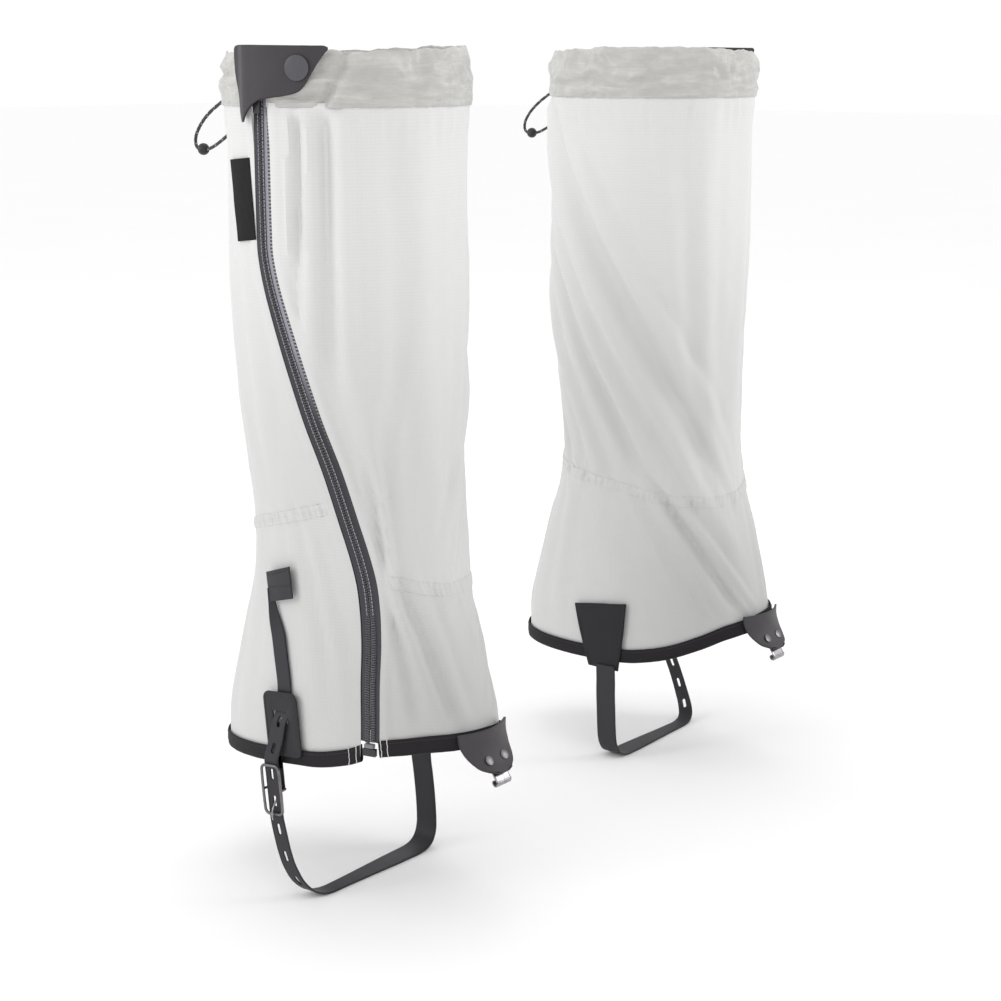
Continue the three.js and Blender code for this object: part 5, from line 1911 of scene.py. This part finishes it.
    def anchor_plate(self) -> Piece:
        """The rounded plate that is sewn on, with the slot that the strap passes through.

        Returns:
            The plate.
        """
        width, height = self.anchor_size
        outline = []
        for cx, cy, r, a0, a1 in ((1, 1, 5, 0, 90), (-1, 1, 5, 90, 180), (-1, -1, 4, 180, 270), (1, -1, 4, 270, 360)):
            for k in range(7):
                a = math.radians(lerp(a0, a1, k / 6))
                outline.append((cx * (width / 2 - r) + r * math.cos(a), cy * (height / 2 - r) + r * math.sin(a)))
        deselect()
        bpy.ops.mesh.primitive_circle_add(vertices=len(outline), radius=1, fill_type="NGON", calc_uvs=True)
        piece = bpy.context.object
        for vertex, (x, y) in zip(piece.data.vertices, outline):
            vertex.co = (x, y, 0.6)
        piece.data.uv_layers.active.name = "cloth"
        editing(True)
        bpy.ops.mesh.select_all(action="SELECT")
        bpy.ops.mesh.normals_make_consistent(inside=False)
        editing(False)
        if piece.data.polygons[0].normal.z < 0:
            piece.data.flip_normals()
        apply_modifier(piece, "SOLIDIFY", thickness=1.2, offset=0.0)
        slot = rounded_box((12, 7.2, 6), (-0.8, 4.4, 0.6), 0.5, 2)
        apply_modifier(piece, "BOOLEAN", object=slot, operation="DIFFERENCE", solver="EXACT")
        bpy.data.objects.remove(slot)
        bevel(piece, 0.25, 55)
        placed(piece, side_seat(ANCHOR))
        smooth_shade(piece)
        return piece

    def anchor(self) -> Piece:
        """The slotted patch whose tongue ends in a loop round the buckle's bar.

        Returns:
            The patch.
        """
        piece = self.anchor_plate()
        back = -BAR_SETBACK - 2.2
        loop = [(24, back + 0.4), (12, back + 0.4), (3, back + 0.45)]
        loop += [(math.sin(math.radians(a)) * 1.75, -BAR_SETBACK - math.cos(math.radians(a)) * 1.75)
                 for a in range(0, -300, -20)]
        bands = []
        buckle, last = side_seat(BUCKLE), len(loop) - 1
        for low, high in ((-4.4, -1.6), (1.6, 4.4)):
            band = surface("loop", 2, last,
                           lambda u, v, a=low, b=high: buckle @ Vector((lerp(a, b, u), *loop[round(v * last)])),
                           lambda u, v: (u * 3, v * 30))
            thicken(band, 0.9, 0.15)
            bands.append(band)
        web = surface("loop", 4, 10, lambda u, v: buckle @ Vector((lerp(-4.4, 4.4, u), lerp(6, 24, v), back + 0.4)),
                      lambda u, v: (u * 9, v * 18))
        thicken(web, 0.9, 0.15)
        return joined("anchor_sheet", [piece, *bands, web])

    def build(self) -> None:
        """Builds the strap and its patches."""
        rubber = self.finishes.rubber
        settle(dress(self.strap(), rubber), Part.GAITER, ["instep_strap"])
        keeper = Patch("keeper_sheet", ((163.5, 181.5), (178.5, 187.5), (177.5, 207), (160, 199.5)), 4.2, 1.0,
                       (19, 21))
        settle(dress(keeper.build(), rubber), Part.GAITER, ["keeper_tab"])
        settle(dress(self.anchor(), rubber), Part.GAITER, ["anchor_patch"])
        inner = Patch("inner_patch_sheet", ((-3.8, 66), (6.8, 66), (14.9, 110), (-7.2, 117)), 2.7, 1.0, (36, 50))
        settle(dress(inner.build(), self.finishes.inner), Part.GAITER, ["medial_patch"])
        self.threads()

    def threads(self) -> None:
        """Rows of dark thread round the inner patch, the keeper's top and the anchor's upper edge."""
        lines = []
        inner = [(-3.0, 68), (-6.6, 115), (14.2, 108.4), (6.0, 68)]
        for (a0, z0), (a1, z1) in zip(inner, inner[1:]):
            lines.append([SLEEVE.point(lerp(a0, a1, t / 30), lerp(z0, z1, t / 30), 3.85) for t in range(31)])
        lines.append([SLEEVE.point(lerp(161.2, 176.8, t / 20), lerp(197.6, 204.8, t / 20), 5.35) for t in range(21)])
        lines.append([SLEEVE.point(lerp(162.6, 177.4, t / 20), lerp(190.6, 195.4, t / 20), 5.35) for t in range(21)])
        seat = side_seat(ANCHOR)
        edge = [(-12.3, -12), (-12.3, 14.8), (-10.4, 17.6), (-7.6, 18.4),
                (7.6, 18.4), (10.4, 17.6), (12.3, 14.8), (12.3, -12)]
        path = spline([Vector((x, y, 1.28)) for x, y in edge], 10)
        lines.append([seat @ p for p in path])
        settle(dress(stitches("strap_stitches", lines, 2.3, 1.6, 0.17), self.finishes.dark),
               Part.GAITER, [])


@dataclass
class Buckle:
    """The wire buckle and its prong."""

    finishes: Finishes
    half_width: float = 7.1
    half_height: float = 15.2
    wire_radius: float = 0.9
    corner: float = 3.0

    def build(self) -> None:
        """Builds the frame, its middle bar and the prong."""
        seat = side_seat(BUCKLE)
        w, h, r, out = self.half_width, self.half_height, self.corner, 0.55 + 0.35 + 0.9
        ring = []
        for cx, cy, a0 in ((1, 1, 0), (-1, 1, 90), (-1, -1, 180), (1, -1, 270)):
            for k in range(8):
                a = math.radians(a0 + 90 * k / 7)
                ring.append(Vector((cx * (w - r) + r * math.cos(a), cy * (h - r) + r * math.sin(a), out)))
        filled = []
        for a, b in zip(ring, ring[1:] + ring[:1]):
            steps = max(1, round((b - a).length / 2))
            filled.extend(a.lerp(b, k / steps) for k in range(steps))
        for point in filled:
            point.x += 0.35 * math.copysign(1 - (point.y / h) ** 2, point.x) if abs(point.x) > w - 0.5 else 0
        frame_wire = wire("frame", [seat @ p for p in filled], self.wire_radius, 4, True)
        bar = [Vector(p) for p in (
            (-w, 0, out), (-w, 0, out - 2), (-w + 0.05, 0, -BAR_SETBACK + 1.2), (-w + 1, 0, -BAR_SETBACK),
            (-3, 0, -BAR_SETBACK), (3, 0, -BAR_SETBACK), (w - 1, 0, -BAR_SETBACK),
            (w - 0.05, 0, -BAR_SETBACK + 1.2), (w, 0, out - 2), (w, 0, out))]
        bar_wire = wire("bar", [seat @ p for p in spline(bar, 4)], 0.78, 3)
        butt = wire("butt", [seat @ Vector((w - 0.1, h - r - k, out)) for k in (0.0, 0.6)], self.wire_radius + 0.1, 4)
        settle(dress(joined("buckle_wire", [frame_wire, bar_wire, butt]), self.finishes.steel), Part.GAITER,
               ["buckle_frame"])
        eye = [Vector((0, 1.5 * math.sin(math.radians(a)), -BAR_SETBACK - 1.5 * math.cos(math.radians(a))))
               for a in range(60, 330, 15)]
        tongue = [Vector(p) for p in ((0, -1.72, -BAR_SETBACK), (0, -4, -2.6), (0, -6.4, -1.3), (0, -9, 0.6),
                                      (0, -12, 2.8), (0, -15.2, 3.75), (0, -18.3, 3.7))]
        path = spline(tongue, 5)
        radii = [lerp(1.0, 0.85, i / len(path)) for i in range(len(path))]
        parts = [wire("eye", [seat @ p for p in eye], 0.45, 3),
                 wire("tongue", [seat @ p for p in path], 0.63, 3, radii=radii)]
        settle(dress(joined("buckle_prong_wire", parts), self.finishes.bright), Part.PRONG, ["buckle_prong"])


# ---------------------------------------------------------------- toe tab
@dataclass
class ToeTab:
    """The coated tongue over the toe end of the hem, with its rivets and lace hook."""

    finishes: Finishes
    # share of the way down, fore-and-aft place, height, half-width, how far the sides fall back
    shape: tuple[Row, ...] = (
        (0, -104, 115, 22, 6.6), (0.25, -104.3, 107.8, 21.4, 6.6), (0.5, -106.4, 100.8, 19.4, 6),
        (0.75, -110.4, 94.6, 15.6, 5), (0.92, -113.9, 90.8, 10.8, 4), (1, -115.6, 89.1, 6.8, 4))
    thickness: float = 1.4
    rivet_down: float = 0.66
    rivet_radius: float = 2.9
    spacing: float = 14.0

    def seat(self, x: float, down: float, off: float) -> Matrix:
        """Axes on the tab: X across, Y up the tab, Z outwards.

        Args:
            x: Place across the tab, in mm.
            down: Share of the way down it.
            off: How far outside its inner face, in mm.

        Returns:
            The seat.
        """
        rise = (Vector((0, curve_at(self.shape, down - 0.02), curve_at(self.shape, down - 0.02, 2)))
                - Vector((0, curve_at(self.shape, down + 0.02), curve_at(self.shape, down + 0.02, 2))))
        up = rise.normalized()
        out = Vector((1, 0, 0)).cross(up)
        fall = curve_at(self.shape, down, 4) * (x / 22) ** 2
        spot = Vector((x, curve_at(self.shape, down) + fall, curve_at(self.shape, down, 2))) + out * off
        return Matrix.Translation(spot) @ Matrix((Vector((1, 0, 0)), up, out)).transposed().to_4x4()

    def build(self) -> None:
        """Builds the tongue, the rivets and the hook."""
        def place(u: float, v: float) -> Vector:
            """Lays one point of the grid.

            Args:
                u: Share across.
                v: Share up.

            Returns:
                The point, in mm.
            """
            down = min(max(1 - v, 0.02), 0.98)
            share = 2 * u - 1
            tip = smooth(0.25, 0.0, v)
            x = share * curve_at(self.shape, 1 - v, 3)
            drop = tip * 1.6 * share * share
            spot = self.seat(x, down, self.thickness / 2 + 0.12 * fuzz(x / 6, v * 4, 7.0)).translation
            return spot + Vector((0, drop * 0.4, drop))

        piece = surface("toe_tab_sheet", 44, 34, place, lambda u, v: (u * 44, v * 32))
        store_rim(piece, lambda x, y: min(curve_at(self.shape, 1 - y / 32, 3) * (1 - abs(2 * x / 44 - 1)), y, 32 - y))
        thicken(piece, self.thickness, 0.25, even=False)
        settle(dress(piece, self.finishes.leather), Part.TAB, ["toe_tab"])
        for name, side in (("outer", -1), ("inner", 1)):
            settle(self.rivet(f"rivet_{name}_eyelet", side), Part.TAB, [f"rivet_{name}"])
        self.hook()

    def rivet(self, name: str, side: int) -> Piece:
        """A rolled tubular rivet with its flange.

        Args:
            name: The piece's name.
            side: -1 on the leg's outer side, 1 on its inner side.

        Returns:
            The rivet.
        """
        piece = worked_disc(32, self.rivet_radius, 0.5, 0.0, (
            (0.3, 0.18), (0.55, 0.12), (0.45, 0.0), (0.3, -0.35), (0.12, -1.2), (0.3, 0.0)))
        placed(piece, self.seat(side * self.spacing / 2, self.rivet_down, self.thickness + 0.45))
        bevel(piece, 0.08 * MM, 35)
        smooth_shade(piece, 45)
        named(piece, name)
        return dress(piece, self.finishes.steel)

    def hook(self) -> None:
        """The lace hook: a rounded plate behind the tongue, rolled back under its tip."""
        seat = self.seat(0, self.rivet_down, 0)
        off = -0.35 - 0.65 - 0.9
        line = spline([Vector((0, y, off + z)) for y, z in (
            (8.6, 0), (0, 0), (-11.6, 0.05), (-13.1, 0.15), (-14.3, -0.5), (-14.8, -1.7), (-14.3, -2.8), (-13.0, -3.4),
            (-10.8, -3.4))], 5)
        last = len(line) - 1

        def place(u: float, v: float) -> Vector:
            """Lays one point of the grid.

            Args:
                u: Share across.
                v: Share up.

            Returns:
                The point, in mm.
            """
            point = line[round(v * last)]
            ends = min(v, 1 - v) * last * 1.2
            half = 6.4 - 1.3 * (1 - smooth(0, 4, ends))
            return seat @ (point + Vector(((2 * u - 1) * half, 0, 0)))

        piece = surface("lace_hook_sheet", 10, last, place, lambda u, v: (u * 13, v * 36))
        thicken(piece, 0.8, 0.2, even=False)
        settle(dress(piece, self.finishes.bright), Part.TAB, ["lace_hook"])


# ---------------------------------------------------------------- drawcord
@dataclass
class Drawcord:
    """The loop of cord behind the rim and the ball that cinches it."""

    finishes: Finishes
    radius: float = 1.0
    ball: float = 3.65
    ball_at: Spot = (-8, 112.4, 442)
    route: tuple[Spot, ...] = (
        (-6, 71.8, 480), (-6.4, 76.5, 479), (-7, 82.5, 476.6), (-7.4, 89.5, 473.5), (-7.7, 97.5, 469.4), (-8, 106, 464),
        (-8, 113, 458), (-8, 117.8, 451.6), (-8, 119.2, 446.8), (-8, 118.3, 443.5), (-8, 116, 442.1),
        (-8, 112.4, 442), (-8, 108.8, 442.1), (-8.2, 105, 443.1), (-8.4, 99.5, 445.6), (-8.6, 91.5, 450.2),
        (-8.9, 84, 456), (-9.3, 79.2, 462), (-9.6, 77, 467.5), (-9.8, 75.4, 471.8), (-10, 71.8, 474.6))

    def build(self) -> None:
        points = spline([Vector(p) for p in self.route], 8)
        sides = 14
        spin: list[tuple[Vector, Vector]] = []
        normal = Vector((1, 0, 0))
        for i in range(len(points)):
            along = (points[min(i + 1, len(points) - 1)] - points[max(i - 1, 0)]).normalized()
            normal = (normal - along * normal.dot(along)).normalized()
            spin.append((normal.copy(), along.cross(normal)))
        run = run_along(points)
        last = len(points) - 1

        def place(u: float, v: float) -> Vector:
            """Lays one point of the grid.

            Args:
                u: Share across.
                v: Share up.

            Returns:
                The point, in mm.
            """
            i = round(v * last)
            across, other = spin[i]
            turn = 2 * math.pi * u
            knit = 1 + 0.07 * math.sin(run[i] * 2 * math.pi / 1.6 + 2 * turn)
            radius = self.radius * knit * (0.001 if i in (0, last) else 1.0)
            return points[i] + (across * math.cos(turn) + other * math.sin(turn)) * radius

        cord = surface("drawcord_braid", sides, last, place, lambda u, v: (u * 1000, run[round(v * last)]))
        apply_modifier(cord, "WELD", merge_threshold=2e-6)
        choose(cord)
        editing(True)
        bpy.ops.mesh.select_all(action="SELECT")
        bpy.ops.mesh.normals_make_consistent(inside=False)
        editing(False)
        smooth_shade(cord, 60)
        balls = settle(self.bead(), Part.GAITER, ["cord_bead"])
        cords = settle(dress(cord, self.finishes.cord), Part.GAITER, ["drawcord"])
        for side, item, ball in zip((1, -1), cords, balls):
            path = [world(p) for p in points]
            path = [Vector((p.x * side, p.y, p.z)) for p in path]
            2 * self.radius * MM

    def bead(self) -> Piece:
        """The drilled ball.

        Returns:
            The ball.
        """
        deselect()
        bpy.ops.mesh.primitive_uv_sphere_add(segments=32, ring_count=20, radius=self.ball)
        piece = bpy.context.object
        bpy.ops.mesh.primitive_cylinder_add(vertices=24, radius=self.radius + 0.45, depth=12)
        drill = bpy.context.object
        apply_modifier(piece, "BOOLEAN", object=drill, operation="DIFFERENCE", solver="EXACT")
        bpy.data.objects.remove(drill)
        bevel(piece, 0.2, 45)
        named(piece, "cord_ball")
        if piece.data.uv_layers:
            piece.data.uv_layers.active.name = "cloth"
        placed(piece, Matrix.Translation(self.ball_at) @ Matrix.Rotation(math.radians(90), 4, "X"))
        smooth_shade(piece, 50)
        return dress(piece, self.finishes.bead)


# ---------------------------------------------------------------- studio
@dataclass
class Studio:
    """The floor, the soft lights and the camera."""

    azimuth: float = -51.7
    tilt: float = 12.75
    lens: float = 70.8
    place: Spot = (-1.010, -0.786, 0.498)

    def light(self, name: str, at: Spot, size: float, power: float) -> None:
        """One large soft lamp aimed at the middle of the pair.

        Args:
            name: Its name.
            at: Its place in metres.
            size: Its diameter in metres.
            power: Its power in watts.
        """
        data = bpy.data.lights.new(name, "AREA")
        data.shape, data.size, data.energy = "DISK", size, power
        lamp = bpy.data.objects.new(name, data)
        lamp.location = at
        lamp.rotation_euler = (Vector((0, 0, 0.25)) - Vector(at)).to_track_quat("-Z", "Y").to_euler()
        bpy.context.collection.objects.link(lamp)

    def build(self) -> None:
        """Builds the studio."""
        deselect()
        bpy.ops.mesh.primitive_plane_add(size=30, location=(0, 0, -0.0002))
        floor = bpy.context.object
        floor.name = "floor"
        bench = Bench("floor_paper")
        cloud = bench.grain(bench.place(), 3.0)
        floor.data.materials.append(bench.finish(
            {"Base Color": bench.blend(cloud, (0.965, 0.965, 0.965, 1), (0.985, 0.985, 0.985, 1))}, {"Roughness": 0.9}))
        sky = bpy.data.worlds.new("studio")
        sky.use_nodes = True
        back = sky.node_tree.nodes["Background"]
        back.inputs["Color"].default_value = (1, 1, 1, 1)
        back.inputs["Strength"].default_value = 1.0
        bpy.context.scene.world = sky
        bpy.context.scene.view_settings.view_transform = "Standard"
        self.light("left", (-1.9, 1.2, 1.1), 0.8, 9)
        self.light("right", (1.6, -1.5, 1.0), 0.8, 7)
        self.light("top", (0.2, 0.4, 2.4), 1.2, 4)
        data = bpy.data.cameras.new("camera")
        data.lens, data.sensor_width = self.lens, 36
        data.clip_start, data.clip_end = 0.01, 50
        camera = bpy.data.objects.new("camera", data)
        camera.location = self.place
        camera.rotation_euler = (math.radians(90 - self.tilt), 0, math.radians(self.azimuth))
        bpy.context.collection.objects.link(camera)
        bpy.context.scene.camera = camera


def dress_frame(finishes: Finishes) -> None:
    """Gives the frame's nodes that stay in view their finish.

    Args:
        finishes: The pair's materials.
    """
    for side in ("right", "left"):
        for node in ("snap_socket", "snap_stud"):
            dress(bpy.data.objects[f"{side}_{node}"], finishes.snap)


def main() -> None:
    """Builds the pair in order."""
    logging.basicConfig(level=logging.INFO, format="%(message)s")
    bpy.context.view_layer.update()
    Studio().build()
    finishes = Finishes()
    Drawcord(finishes).build()
    FabricSleeve(finishes).build()
    DrawChannel(finishes).build()
    HemBinding(finishes).build()
    ZipFastener(finishes).build()
    TopFlap(finishes).build()
    label = Patch("side_label_tape", ((159.5, 395), (175, 397.3), (172, 442.5), (153, 440.5)), 1.45, 0.5, (18, 46))
    settle(dress(label.build(), finishes.label), Part.GAITER, ["side_label"])
    StrapSet(finishes).build()
    Buckle(finishes).build()
    ToeTab(finishes).build()
    dress_frame(finishes)
    deselect()


if __name__ == "__main__":
    main()
